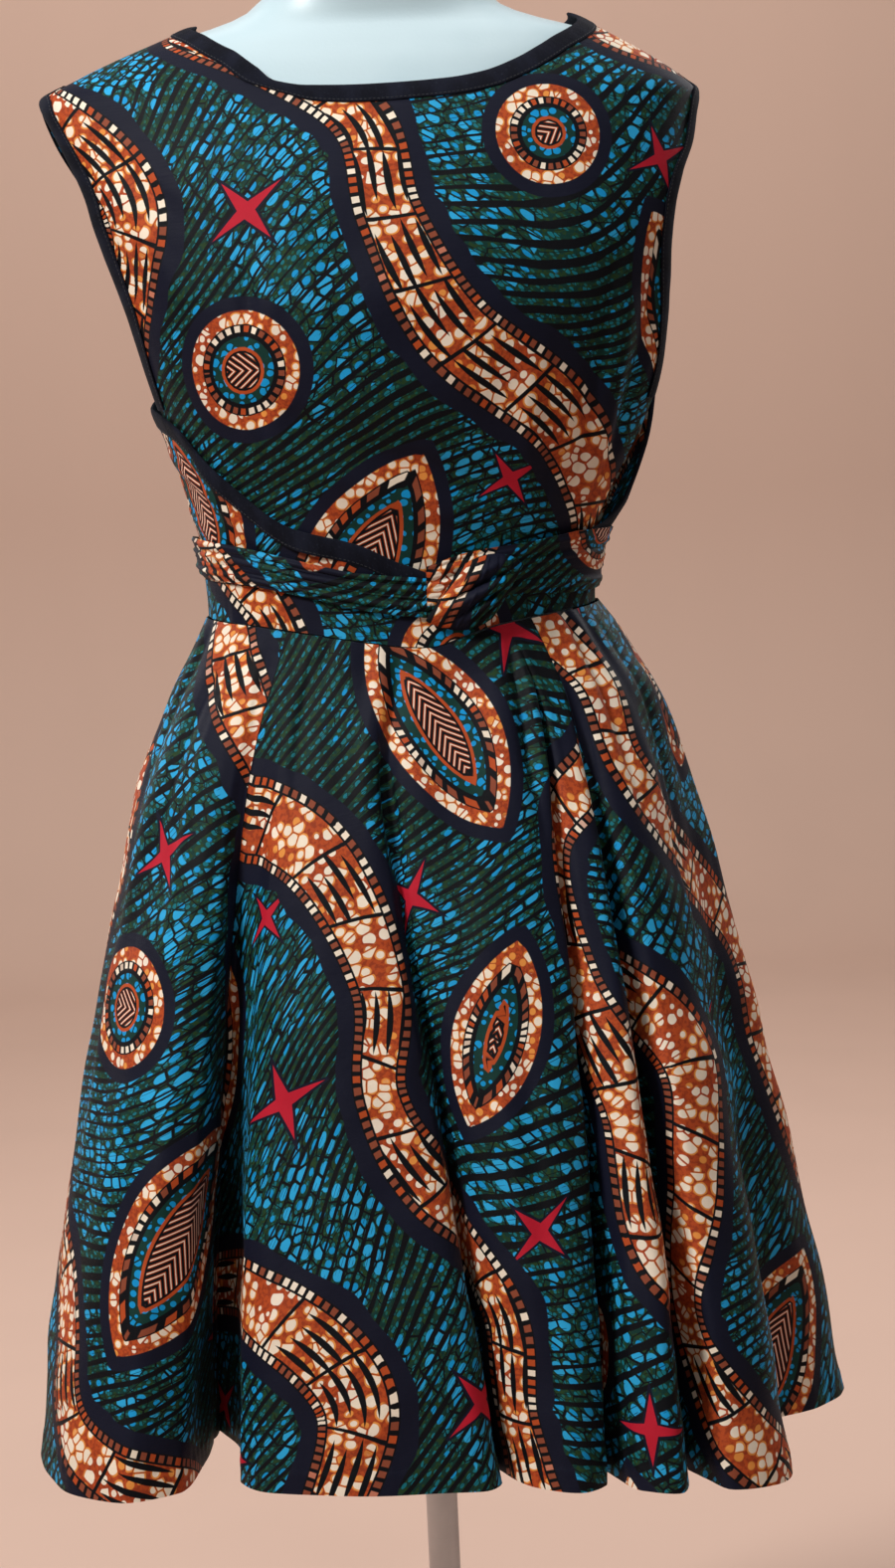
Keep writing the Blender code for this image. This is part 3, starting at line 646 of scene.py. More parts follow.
BLUE = linear(14, 148, 212)
PALE_BLUE = linear(44, 168, 224)
TEAL = linear(20, 112, 126)
SEA_GREEN = linear(24, 88, 74)
GREEN = linear(12, 54, 48)
MOSS = linear(34, 62, 34)
LINE = linear(5, 7, 13)
NAVY = linear(14, 17, 36)
RUST = linear(182, 76, 34)
DEEP_RUST = linear(152, 60, 30)
BROWN = linear(140, 72, 50)
ORANGE = linear(232, 150, 70)
CREAM = linear(244, 230, 210)
RED = linear(186, 26, 48)
BINDING_COLOUR = linear(12, 14, 24)
WORN_BINDING = linear(21, 24, 37)
BINDING_FLUFF = linear(32, 36, 48)
THREAD_COLOUR = linear(12, 13, 20)
THREAD_LIGHT = linear(34, 36, 46)
FORM_COLOUR = linear(186, 208, 216)
FORM_MARK = linear(176, 200, 209)
STEEL_COLOUR = linear(188, 190, 193)
STEEL_MARK = linear(168, 170, 174)

# Sizes of the print's small parts, and of the weaves, in metres
SPECK_CELL = (0.0052, 0.0040)
PEBBLE_CELL = (0.0120, 0.0092)
LINE_SPACING = 0.0094
HATCH_SPACING = 0.0026
BAND_CRACKLE = (0.0086, 0.0106)
MEDALLION_CRACKLE = (0.0078, 0.0078)
MEDALLION_PEBBLE = (0.0074, 0.0068)
BEAD_PITCH = 0.0066
BEAD_HALF = 0.30  # half the length of a bead, as a share of the pitch
BAND_PART = 0.052  # length of a band's stretches, which are striped or plain by chance
STRIPE_SPACING = 0.0100
VEIN_SPACING = 0.0066
WARP_PITCH = 0.00062
WEFT_PITCH = 0.00070
TAPE_PITCH = 0.0009


class Value:
    """What a node gives out. Arithmetic with it adds maths nodes."""

    def __init__(self, graph, socket):
        self.graph = graph
        self.socket = socket

    def __add__(self, other):
        return self.graph.math("ADD", self, other)

    def __radd__(self, other):
        return self.graph.math("ADD", other, self)

    def __sub__(self, other):
        return self.graph.math("SUBTRACT", self, other)

    def __rsub__(self, other):
        return self.graph.math("SUBTRACT", other, self)

    def __mul__(self, other):
        return self.graph.math("MULTIPLY", self, other)

    def __rmul__(self, other):
        return self.graph.math("MULTIPLY", other, self)

    def __truediv__(self, other):
        return self.graph.math("DIVIDE", self, other)

    def __abs__(self):
        return self.graph.math("ABSOLUTE", self)


class Graph:
    """Short calls that build a material's nodes. They take numbers, colours and Values."""

    def __init__(self, name):
        self.material = bpy.data.materials.new(name)
        self.material.use_nodes = True
        self.tree = self.material.node_tree
        self.shader = self.tree.nodes["Principled BSDF"]

    def node(self, kind, inputs, output=0, **settings):
        """A new node with these settings and inputs: the Value of one output, or the node itself."""
        node = self.tree.nodes.new(kind)
        for name, value in settings.items():
            setattr(node, name, value)
        for name, value in inputs.items():
            self.feed(node.inputs[name], value)
        return node if output is None else Value(self, node.outputs[output])

    def feed(self, socket, value):
        if isinstance(value, Value):
            self.tree.links.new(value.socket, socket)
        else:
            socket.default_value = value

    def set(self, **values):
        """Sets the shader's own sockets, with _ for a space in a name."""
        for name, value in values.items():
            self.feed(self.shader.inputs[name.replace("_", " ")], value)

    def attribute(self, name):
        return self.node("ShaderNodeAttribute", {}, "Vector", attribute_name=name)

    def object_place(self):
        return self.node("ShaderNodeTexCoord", {}, "Object")

    def parts(self, vector):
        split = self.node("ShaderNodeSeparateXYZ", {0: vector}, None)
        return [Value(self, socket) for socket in split.outputs]

    def join(self, x, y, z=0.0):
        return self.node("ShaderNodeCombineXYZ", {0: x, 1: y, 2: z})

    def math(self, operation, *values):
        return self.node("ShaderNodeMath", dict(enumerate(values)), operation=operation)

    def off_middle(self, place):
        """How far a place is from the middle of its whole-number step."""
        return abs(self.math("FRACT", place) - 0.5)

    def radius(self, x, y):
        return self.math("SQRT", x * x + y * y)

    def scaled(self, vector, x, y, z=1.0):
        return self.node("ShaderNodeVectorMath", {0: vector, 1: (x, y, z)}, operation="MULTIPLY")

    def in_cells(self, vector, size):
        return self.scaled(vector, 1 / size[0], 1 / size[1])

    def wave(self, place, pitch):
        return self.math("SINE", place * (2 * math.pi / pitch))

    def rise(self, value, low, high):
        """0 below low, 1 above high and smooth between; low may be above high."""
        flip = low > high
        inputs = {0: value, 1: min(low, high), 2: max(low, high), 3: float(flip), 4: float(not flip)}
        return self.node("ShaderNodeMapRange", inputs, interpolation_type="SMOOTHSTEP", clamp=True)

    def both(self, *masks):
        result = masks[0]
        for mask in masks[1:]:
            result = result * mask
        return result

    def mix(self, mask, under, over):
        return self.node("ShaderNodeMix", {0: mask, 6: under, 7: over}, 2, data_type="RGBA")

    def noise(self, vector, scale, detail=2.0, dimensions="2D"):
        inputs = {"Vector": vector, "Scale": scale, "Detail": detail}
        return self.node("ShaderNodeTexNoise", inputs, "Fac", noise_dimensions=dimensions)

    def streaks(self, vector, x, y, detail):
        """Noise with its own fineness each way."""
        return self.noise(self.scaled(vector, x, y), 1.0, detail)

    def solid_noise(self, scale, detail):
        return self.noise(self.object_place(), scale, detail, "3D")

    def chance(self, place, socket="W", dimensions="1D"):
        """A random number for each whole place."""
        kind = "ShaderNodeTexWhiteNoise"
        return self.node(kind, {socket: place}, "Value", noise_dimensions=dimensions)

    def cells(self, vector, feature="F1"):
        """Voronoi cells one unit across: distance, and a random number for each cell."""
        inputs = {"Vector": vector, "Scale": 1.0}
        node = self.node("ShaderNodeTexVoronoi", inputs, None, voronoi_dimensions="2D", feature=feature)
        distance = Value(self, node.outputs["Distance"])
        if feature != "F1":
            return distance, None
        return distance, self.node("ShaderNodeSeparateColor", {0: Value(self, node.outputs["Color"])})

    def bump(self, height, distance, strength=1.0):
        inputs = {"Height": height, "Distance": distance, "Strength": strength}
        self.set(Normal=self.node("ShaderNodeBump", inputs))


def blobs(g, vector, least, spread, gap):
    """Rounded cells of random size with a gap between them, and each cell's random number."""
    distance, number = g.cells(vector)
    edge, _ = g.cells(vector, "DISTANCE_TO_EDGE")
    radius = least + number * spread
    inside = g.rise(distance - radius, 0.03, -0.03)
    apart = g.rise(edge, gap - 0.02, gap + 0.03)
    return g.both(inside, apart), number


def ground_colour(g, cloth, flow):
    """Blue pebbles on mottled green between wandering dark lines."""
    _, across, _ = g.parts(flow)
    pools = g.noise(cloth, 10.0, 1.0)
    mottle = g.noise(cloth, 260.0, 2.0)
    colour = g.mix(g.rise(mottle, 0.46, 0.60), GREEN, MOSS)
    specks, speck_number = blobs(g, g.in_cells(flow, SPECK_CELL), 0.13, 0.32, 0.06)
    colour = g.mix(specks, colour, g.mix(g.rise(speck_number, 0.30, 0.50), SEA_GREEN, TEAL))
    cell = g.in_cells(flow, PEBBLE_CELL)
    pebbles, number = blobs(g, cell, 0.15, 0.33, 0.085)
    shown = g.rise(pools - number * 0.18, 0.315, 0.325)
    outline, _ = g.cells(cell, "DISTANCE_TO_EDGE")
    outlined = g.both(g.rise(outline, 0.085, 0.045), shown, g.rise(number, 0.22, 0.32))
    colour = g.mix(outlined, colour, LINE)
    blue = g.mix(g.rise(number, 0.3, 0.8), BLUE, PALE_BLUE)
    colour = g.mix(g.both(pebbles, shown), colour, blue)
    wander = g.streaks(flow, 14, 60, 1.0)
    off_line = g.off_middle(across / LINE_SPACING + wander * 0.5)
    ragged = g.streaks(flow, 120, 420, 2.0)
    width = 0.085 + (0.62 - pools) * 0.44 + ragged * 0.09
    colour = g.mix(g.rise(off_line - width, 0.022, -0.022), colour, LINE)
    hatch = g.rise(g.off_middle(across / HATCH_SPACING), 0.12, 0.05)
    hatched = g.rise(g.streaks(flow, 60, 160, 1.0), 0.50, 0.58)
    return g.mix(g.both(hatch, hatched, 0.75), colour, LINE)


def crackle_colour(g, place):
    """Rust with cream blobs in an orange halo; place is in cells."""
    cream, number = blobs(g, place, 0.14, 0.40, 0.07)
    distance, _ = g.cells(place)
    patches = g.noise(place, 0.30, 1.0)
    mottle = g.noise(place, 3.0, 2.0)
    colour = g.mix(g.rise(mottle, 0.42, 0.62), RUST, DEEP_RUST)
    edge, _ = g.cells(place, "DISTANCE_TO_EDGE")
    halo = distance - (0.26 + number * 0.42)
    halo = g.both(g.rise(halo, 0.05, -0.05), g.rise(edge, 0.02, 0.06), g.rise(patches, 0.38, 0.50))
    colour = g.mix(halo, colour, ORANGE)
    bright = g.rise(number - patches, -0.40, -0.36)
    return g.mix(g.both(cream, bright), colour, CREAM)


def bead_colour(g, place, inside):
    """Squares in a row, brown, cream or rust by chance, on black: place runs along the row and inside
    is the strip's mask."""
    share = place / BEAD_PITCH
    square = g.rise(g.off_middle(share), BEAD_HALF + 0.03, BEAD_HALF - 0.03)
    chance = g.chance(g.math("FLOOR", share))
    tint = g.mix(g.rise(chance, 0.50, 0.52), BROWN, CREAM)
    tint = g.mix(g.rise(chance, 0.74, 0.76), tint, RUST)
    return g.mix(g.both(square, inside), LINE, tint)


def band_colour(g, band, under):
    """A rust band with a bead border on both edges and a wide navy margin, over what lies under it."""
    along, middle, outside = g.parts(band)
    edge = outside + (g.streaks(band, 30, 30, 1.0) - 0.5) * 0.010
    colour = g.mix(g.rise(edge, 0.0122, 0.0114), under, NAVY)
    strip = g.both(g.rise(outside, -0.0006, -0.0012), g.rise(outside, -0.0066, -0.0060))
    beads = bead_colour(g, along, strip)
    colour = g.mix(g.rise(outside, 0.0004, -0.0002), colour, beads)
    rust = crackle_colour(g, g.in_cells(band, BAND_CRACKLE))
    step = along / BAND_PART + middle * 4.5
    part = g.math("FRACT", step)
    striped = g.rise(g.chance(g.math("FLOOR", step)), 0.50, 0.51)
    # strokes swell and taper along each part, and start and stop at different places
    lane = middle / STRIPE_SPACING
    shift = g.chance(g.join(g.math("FLOOR", lane), g.math("FLOOR", step)), "Vector", "2D")
    moved = part + (shift - 0.5) * 0.4
    spindle = moved * (1.0 - moved) * 4.0
    width = spindle * 0.30 - 0.06
    strokes = g.rise(g.off_middle(lane) - width, 0.02, -0.02)
    rust = g.mix(g.both(strokes, striped), rust, LINE)
    rust = g.mix(g.rise(abs(part - 0.5), 0.468, 0.478), rust, LINE)
    return g.mix(g.rise(outside, -0.0076, -0.0082), colour, rust)


def medallion_colour(g, medallion, cloth, under):
    """Rings that follow the edge: navy, crackle, beads, pebbles and a ribbed heart."""
    x, y, depth = g.parts(medallion)
    colour = g.mix(g.rise(depth, -0.0105, -0.0097), under, NAVY)
    crackle = crackle_colour(g, g.in_cells(cloth, MEDALLION_CRACKLE))
    colour = g.mix(g.rise(depth, -0.0006, 0.0002), colour, crackle)
    beads = bead_colour(g, g.math("ARCTAN2", y, x) * 0.030, 1.0)
    colour = g.mix(g.rise(depth, 0.0092, 0.0098), colour, LINE)
    ring = g.both(g.rise(depth, 0.0102, 0.0108), g.rise(depth, 0.0152, 0.0146))
    colour = g.mix(ring, colour, beads)
    pebbles, _ = blobs(g, g.in_cells(cloth, MEDALLION_PEBBLE), 0.16, 0.34, 0.08)
    colour = g.mix(g.rise(depth, 0.0180, 0.0186), colour, g.mix(pebbles, GREEN, BLUE))
    colour = g.mix(g.rise(depth, 0.0250, 0.0256), colour, RUST)
    colour = g.mix(g.rise(depth, 0.0274, 0.0280), colour, LINE)
    veins = g.off_middle((x + abs(y) * 1.3) / VEIN_SPACING)
    heart = g.mix(g.rise(veins, 0.22, 0.28), LINE, RUST)
    heart = g.mix(g.rise(veins, 0.38, 0.44), heart, CREAM)
    return g.mix(g.rise(depth, 0.0290, 0.0296), colour, heart)


STAR_HOLLOW = 0.155  # how far out the inner corners are, as a share of the reach
STAR_NARROW = 0.80  # the shorter pair of points, as a share of the longer


def star_colour(g, star, under):
    """A slender four-pointed star, edged in navy."""
    x, y, depth = g.parts(star)
    distance = g.radius(x, y)
    reach = depth + distance
    x = abs(x) / reach
    y = abs(y) / (reach * STAR_NARROW)
    far, near = g.math("MAXIMUM", x, y), g.math("MINIMUM", x, y)
    # the straight side from a point at (1, 0) to the inner corner at (hollow, hollow)
    side = (far - 1.0) * STAR_HOLLOW + near * (1.0 - STAR_HOLLOW)
    near_star = g.rise(depth, -0.004, -0.002)
    colour = g.mix(g.both(g.rise(side, 0.062, 0.050), near_star), under, NAVY)
    return g.mix(g.both(g.rise(side, 0.006, -0.006), near_star), colour, RED)


def wax_print():
    """Printed plain-weave cotton with a soft waxed sheen."""
    g = Graph("printed_cotton")
    cloth = g.attribute("cloth")
    band = g.attribute("band")
    colour = ground_colour(g, cloth, g.attribute("flow"))
    colour = star_colour(g, g.attribute("star"), colour)
    colour = band_colour(g, band, colour)
    colour = medallion_colour(g, g.attribute("medallion"), cloth, colour)
    # the dye lies a little unevenly, and the threads show in it
    uneven = g.noise(cloth, 38.0, 3.0)
    colour = g.mix(g.rise(uneven, 0.80, 0.30), colour, g.mix(0.10, colour, LINE))
    u, v, _ = g.parts(cloth)
    weave = g.wave(u, WARP_PITCH) * g.wave(v, WEFT_PITCH)
    slubs = g.streaks(cloth, 40, 900, 2.0)
    creased = g.noise(cloth, 60.0, 3.0) * 0.0005
    g.bump(weave * 0.00003 + slubs * 0.00008 + creased, 1.0, 0.8)
    g.set(Base_Color=colour, Roughness=0.54 + slubs * 0.16)
    g.set(Sheen_Weight=0.015, Sheen_Roughness=0.4, Specular_IOR_Level=0.14)
    return g.material


def bias_tape():
    """Plain black cotton tape with a fine weave on the cross."""
    g = Graph("cotton_tape")
    cloth = g.attribute("cloth")
    u, v, _ = g.parts(cloth)
    weave = g.wave(u + v, TAPE_PITCH) * g.wave(u - v, TAPE_PITCH)
    pile = g.streaks(cloth, 500, 500, 3.0)
    worn = g.streaks(cloth, 60, 30, 3.0)
    colour = g.mix(g.rise(worn, 0.35, 0.75), BINDING_COLOUR, WORN_BINDING)
    colour = g.mix(g.rise(pile, 0.62, 0.80), colour, BINDING_FLUFF)
    pucker = g.streaks(cloth, 160, 50, 2.0) * 0.0006
    g.bump(weave * 0.00004 + pile * 0.00012 + pucker, 1.0, 0.9)
    g.set(Base_Color=colour, Roughness=0.86)
    g.set(Sheen_Weight=0.02, Sheen_Roughness=0.5, Specular_IOR_Level=0.1)
    return g.material


def thread():
    g = Graph("thread")
    twist = g.solid_noise(2500.0, 2.0)
    g.bump(twist, 0.0002)
    g.set(Base_Color=g.mix(g.rise(twist, 0.4, 0.7), THREAD_COLOUR, THREAD_LIGHT))
    g.set(Roughness=0.7, Sheen_Weight=0.2)
    return g.material


def form_shell():
    """Pale moulded shell with a faint orange-peel skin and slight handling marks."""
    g = Graph("moulded_shell")
    skin = g.solid_noise(420.0, 2.0)
    marks = g.solid_noise(9.0, 4.0)
    g.bump(skin * 0.00012, 1.0, 0.7)
    g.set(Base_Color=g.mix(g.rise(marks, 0.45, 0.8), FORM_COLOUR, FORM_MARK))
    g.set(Roughness=0.34 + marks * 0.14, Coat_Weight=0.15, Coat_Roughness=0.3)
    return g.material


def stand_metal():
    """Satin steel, brushed round the pole and the base."""
    g = Graph("satin_steel")
    x, y, z = g.parts(g.object_place())
    radius = g.radius(x, y)
    brushed = g.noise(g.join(radius * 900.0, z * 900.0), 1.0, 2.0)
    marks = g.solid_noise(14.0, 4.0)
    g.bump(brushed * 0.00006, 1.0, 0.6)
    g.set(Base_Color=g.mix(g.rise(marks, 0.4, 0.8), STEEL_COLOUR, STEEL_MARK), Metallic=1.0)
    g.set(Roughness=0.24 + brushed * 0.16)
    return g.material


# ---------------------------------------------------------------------------------------------
# Meshes

SHEET = 0.0010  # thickness of one layer of cloth
MATERIALS = {}


def grid_normals(points, closed=False):
    """Outward normals of a grid whose rows run down and whose columns run round towards +X."""
    down = np.gradient(points, axis=0)
    if closed:
        round_ = np.roll(points, -1, axis=1) - np.roll(points, 1, axis=1)
    else:
        round_ = np.gradient(points, axis=1)
    normals = np.cross(down, round_)
    return normals / np.maximum(np.linalg.norm(normals, axis=-1, keepdims=True), 1e-12)


def grid_faces(rows, columns, closed):
    """Quads of the two faces of a sheet and of its rim; the second face's points follow the first's."""
    index = np.arange(rows * columns).reshape(rows, columns)
    if closed:
        index = np.hstack([index, index[:, :1]])
    quads = np.stack([index[:-1, :-1], index[1:, :-1], index[1:, 1:], index[:-1, 1:]], axis=-1)
    quads = quads.reshape(-1, 4)
    count = rows * columns
    top, bottom = index[0], index[-1]
    rims = [(top[:-1], top[1:]), (bottom[1:], bottom[:-1])]
    if not closed:
        rims += [(index[1:, 0], index[:-1, 0]), (index[:-1, -1], index[1:, -1])]
    rim = [np.stack([a, b, b + count, a + count], axis=-1) for a, b in rims]
    return np.vstack([quads, quads[:, ::-1] + count] + rim)


def add_object(name, data):
    item = bpy.data.objects.new(name, data)
    bpy.context.scene.collection.objects.link(item)
    return item


def add_mesh(name, vertices, faces, material):
    mesh = bpy.data.meshes.new(name)
    mesh.from_pydata([tuple(point) for point in vertices], [], [tuple(face) for face in faces])
    mesh.materials.append(material)
    mesh.shade_smooth()
    return add_object(name, mesh)


def add_piece(name, vertices, faces, material, sharp):
    """A piece of the object, shaded smooth where its faces turn by less than sharp degrees."""
    item = add_mesh(name, vertices, faces, MATERIALS[material])
    item.data.set_sharp_from_angle(angle=math.radians(sharp))
    return item


def settle(item, nodes):
    """Makes a piece ride with the object in place of these nodes."""
    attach(item, "root")
    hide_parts(*nodes)
    return item


def keep_sheet(cloth):
    """Finds the smallest rectangle that a sheet's cut fits in; the result is not kept."""
    x, y = cloth.reshape(-1, 2).T
    best = None
    for turn in np.radians(np.arange(0, 90, 1.5)):
        sizes = [float(np.ptp(values)) for values in in_axes(x, y, turn)]
        if best is None or sizes[0] * sizes[1] < best[0] * best[1]:
            best = sizes


def add_rings(name, rings, slot, node):
    """A piece from rings of points, the topmost first, closed at both ends."""
    rows, sides = rings.shape[:2]
    index = np.arange(rows * sides).reshape(rows, sides)
    after = np.roll(index, -1, axis=1)
    faces = np.stack([index[:-1], index[1:], after[1:], after[:-1]], axis=-1).reshape(-1, 4).tolist()
    faces += [index[0].tolist(), index[-1][::-1].tolist()]
    settle(add_piece(name, rings.reshape(-1, 3), faces, slot, sharp=35), [node])


def add_cloth(piece, points, cloth, closed=False, thickness=SHEET):
    """A closed double-faced sheet of printed cloth whose middle is this grid."""
    offset = grid_normals(points, closed) * thickness / 2
    vertices = np.concatenate([(points + offset).reshape(-1, 3), (points - offset).reshape(-1, 3)])
    faces = grid_faces(*points.shape[:2], closed)
    item = add_piece(piece + "_cloth", vertices, faces, "wax_print_cotton", sharp=70)
    add_print(item.data, np.tile((cloth + CLOTH_ORIGIN[piece]).reshape(-1, 2), (2, 1)))
    settle(item, [piece])
    keep_sheet(cloth)


def off_ends(run):
    """How far each place is from the nearer end of its row."""
    return np.minimum(run, run[:, -1:] - run)


def crumple(cloth, seed, wavelength, height):
    """Shallow random waves over the cloth, in metres."""
    random = np.random.default_rng(seed)
    total = np.zeros(cloth.shape[:-1])
    for _ in range(14):
        turn, phase = random.uniform(0, 2 * np.pi, 2)
        size = wavelength * random.uniform(0.6, 1.7)
        along = cloth[..., 0] * math.cos(turn) + cloth[..., 1] * math.sin(turn)
        total += np.sin(2 * np.pi * along / size + phase) * size / wavelength
    return total * height / 5


def creases(place, table, scale=(1.0, 1.0)):
    """Soft ridges (+) and troughs (-) along given lines: depth, width, then the line's points.
    Each fades in and out along its line; one side of it is steeper than the other."""
    total = np.zeros(place.shape[:-1])
    at = place * scale
    for depth, width, line in table:
        points = np.array(line, float) * scale
        steps = np.diff(points, axis=0)
        sizes = np.linalg.norm(steps, axis=1)
        before = lengths(points, 0)
        nearest = np.full(total.shape, np.inf)
        share = np.zeros(total.shape)
        side = np.zeros(total.shape)
        for start, step, size, run in zip(points, steps, sizes, before):
            away = at - start
            t = np.clip((away @ step) / size**2, 0, 1)
            off = away - t[..., None] * step
            distance = np.linalg.norm(off, axis=-1)
            closer = distance < nearest
            nearest = np.where(closer, distance, nearest)
            share = np.where(closer, (run + t * size) / before[-1], share)
            side = np.where(closer, np.sign(step[0] * off[..., 1] - step[1] * off[..., 0]), side)
        steep = np.where(side > 0, 0.75, 1.25)
        fade = np.sin(np.pi * np.clip(share, 0.0, 1.0)) ** 0.7
        total += depth * np.exp(-((nearest / (width * steep)) ** 2)) * fade
    return total


# ---------------------------------------------------------------------------------------------
# The dress

# Where each piece's own origin lies on the printed cloth
CLOTH_ORIGIN = {
    "front_bodice": (0.315, 0.10),
    "back_bodice": (0.90, 0.32),
    "wrap_left": (0.12, 0.22),
    "wrap_right": (0.52, 0.40),
    "waistband": (0.0, 0.47),
    "sash_left": (0.22, 0.05),
    "sash_right": (0.05, 0.30),
    "sash_knot": (0.10, 0.33),
    "skirt_front": (0.24, 0.95),
    "skirt_side_right": (0.55, 1.30),
    "skirt_back_right": (0.05, 1.05),
    "skirt_back_left": (0.10, 1.38),
    "skirt_side_left": (0.46, 1.14),
}

# Creases of the front bodice, in degrees round and metres up: depth, width, line
BODICE_SCALE = (0.0030, 1.0)  # metres for a degree, and for a metre of rise
FRONT_CREASES = (
    # the dart seams, and the soft folds that run from them
    (-0.0016, 0.0022, ((31, 0.180), (30.5, 0.143), (30.5, 0.113), (33, 0.078), (38, 0.030))),
    (0.0018, 0.0080, ((26, 0.165), (25, 0.130), (26, 0.095), (29, 0.060))),
    (-0.0016, 0.0022, ((-34, 0.178), (-33, 0.140), (-33, 0.105), (-35, 0.070), (-38, 0.030))),
    (0.0018, 0.0080, ((-28, 0.160), (-27, 0.125), (-28, 0.090))),
    (-0.0034, 0.0060, ((45, 0.235), (44, 0.19), (42, 0.14), (42, 0.09), (43, 0.045))),
    (0.0038, 0.0120, ((52, 0.20), (50, 0.14), (49, 0.08), (48, 0.05))),
    (-0.0045, 0.0100, ((60, 0.22), (60, 0.16), (57, 0.10), (55, 0.07))),
    # the pinch over the left bust
    (-0.0034, 0.0050, ((-26, 0.232), (-27, 0.210), (-29, 0.186), (-33, 0.168))),
    (0.0026, 0.0080, ((-22, 0.236), (-22, 0.205), (-24, 0.175))),
    (0.0030, 0.0120, ((-40, 0.120), (-20, 0.085), (0, 0.060))),
    (-0.0028, 0.0090, ((-34, 0.140), (-12, 0.105), (10, 0.075), (26, 0.062))),
    (0.0020, 0.0090, ((-10, 0.070), (8, 0.052), (24, 0.046))),
    (-0.0022, 0.0120, ((-70, 0.29), (-62, 0.24), (-58, 0.19))),
    (0.0022, 0.0130, ((-60, 0.31), (-50, 0.25), (-44, 0.20))),
    (-0.0020, 0.0100, ((-58, 0.33), (-46, 0.29), (-36, 0.255))),
    (0.0020, 0.0160, ((-18, 0.30), (-14, 0.22), (-16, 0.14))),
    (-0.0018, 0.0140, ((20, 0.32), (26, 0.25), (30, 0.20))),
    (0.0018, 0.0120, ((70, 0.30), (62, 0.26), (54, 0.24))),
)
BACK_CREASES = (
    (-0.0028, 0.0070, ((38, 0.20), (36, 0.12), (33, 0.04))),
    (-0.0028, 0.0070, ((-38, 0.20), (-35, 0.12), (-33, 0.04))),
    (0.0028, 0.0140, ((50, 0.14), (25, 0.07), (0, 0.05))),
    (0.0026, 0.0140, ((-52, 0.12), (-28, 0.06), (-4, 0.04))),
    (-0.0022, 0.0110, ((60, 0.18), (40, 0.11), (12, 0.08))),
    (-0.0022, 0.0120, ((-60, 0.19), (-36, 0.12), (-10, 0.09))),
    (0.0020, 0.0150, ((12, 0.33), (16, 0.24), (14, 0.16))),
    (-0.0018, 0.0150, ((-16, 0.32), (-18, 0.24), (-12, 0.15))),
)


def bodice_cloth(angle, rise):
    """Flat place of a point of the worn surface: length round from the centre, and length up."""
    angles = np.linspace(0, 120, 61)
    rises = np.linspace(-0.04, FIGURE[-1][0], 75)
    result = np.zeros(angle.shape + (2,))
    for sign in (-1, 1):
        grid = figure_surface(sign * angles[None, :], rises[:, None])
        across = lengths(grid, 1)
        up = lengths(grid, 0)
        i = np.clip((rise - rises[0]) / (rises[1] - rises[0]), 0, len(rises) - 1.001)
        j = np.clip(np.abs(angle) / (angles[1] - angles[0]), 0, len(angles) - 1.001)
        i0, j0 = i.astype(int), j.astype(int)
        s, t = i - i0, j - j0
        for part, table in enumerate((across * sign, up)):
            value = (
                table[i0, j0] * (1 - s) * (1 - t)
                + table[i0 + 1, j0] * s * (1 - t)
                + table[i0, j0 + 1] * (1 - s) * t
                + table[i0 + 1, j0 + 1] * s * t
            )
            result[..., part] = np.where(np.sign(angle + 1e-9) == sign, value, result[..., part])
    return result


def panel_place(neck, edge, share, drop):
    """Angle and rise of a point of a bodice panel. Its share runs from -1 to 1 across the panel, its drop
    from 0 to 1 down it."""
    top = read(neck, share * 90)
    rise = top + (BODICE_BOTTOM_RISE - top) * drop
    return share * panel_reach(edge, share, rise), rise


def bodice_surface(facing, share, drop):
    """A point of the finished bodice panel, and its flat place on the cloth."""
    neck, edge, table, seed = {
        "front": (NECK_FRONT, FRONT_EDGE, FRONT_CREASES, 11),
        "back": (NECK_BACK, BACK_EDGE, BACK_CREASES, 12),
    }[facing]
    angle, rise = panel_place(neck, edge, share, drop)
    cloth = bodice_cloth(angle, rise)
    place = np.stack([angle, rise], axis=-1)
    out = creases(place, table, BODICE_SCALE) + crumple(cloth, seed, 0.09, 0.0012)
    if facing == "front":
        # the waist's layers press it flat
        out = out * np.clip((rise - wrap_cover(angle) - 0.002) / 0.014, 0.12, 1)
    # it lies flat where the waist layers and the bindings are over it, and on the form's shoulders
    out = out * smooth(rise, (0.0, 0.03, 0.33, 0.37), (0.1, 1.0, 1.0, 0.0))
    out = out * smooth(np.abs(share), (0.0, 0.86, 0.97), (1.0, 1.0, 0.25))
    turned = angle if facing == "front" else 180 - angle
    return figure_point(turned, rise, out), cloth


def add_bodice():
    for facing, columns, rows in (("front", 96, 84), ("back", 96, 80)):
        share, drop = np.meshgrid(np.linspace(-1, 1, columns), np.linspace(0, 1, rows))
        points, cloth = bodice_surface(facing, share, drop)
        if facing == "back":
            points, cloth = points[:, ::-1], cloth[:, ::-1] * (-1, 1)
        add_cloth(facing + "_bodice", points, cloth)


BODY_MIDDLE = np.array([0.0, 0.0, WAIST_HEIGHT + 0.15])

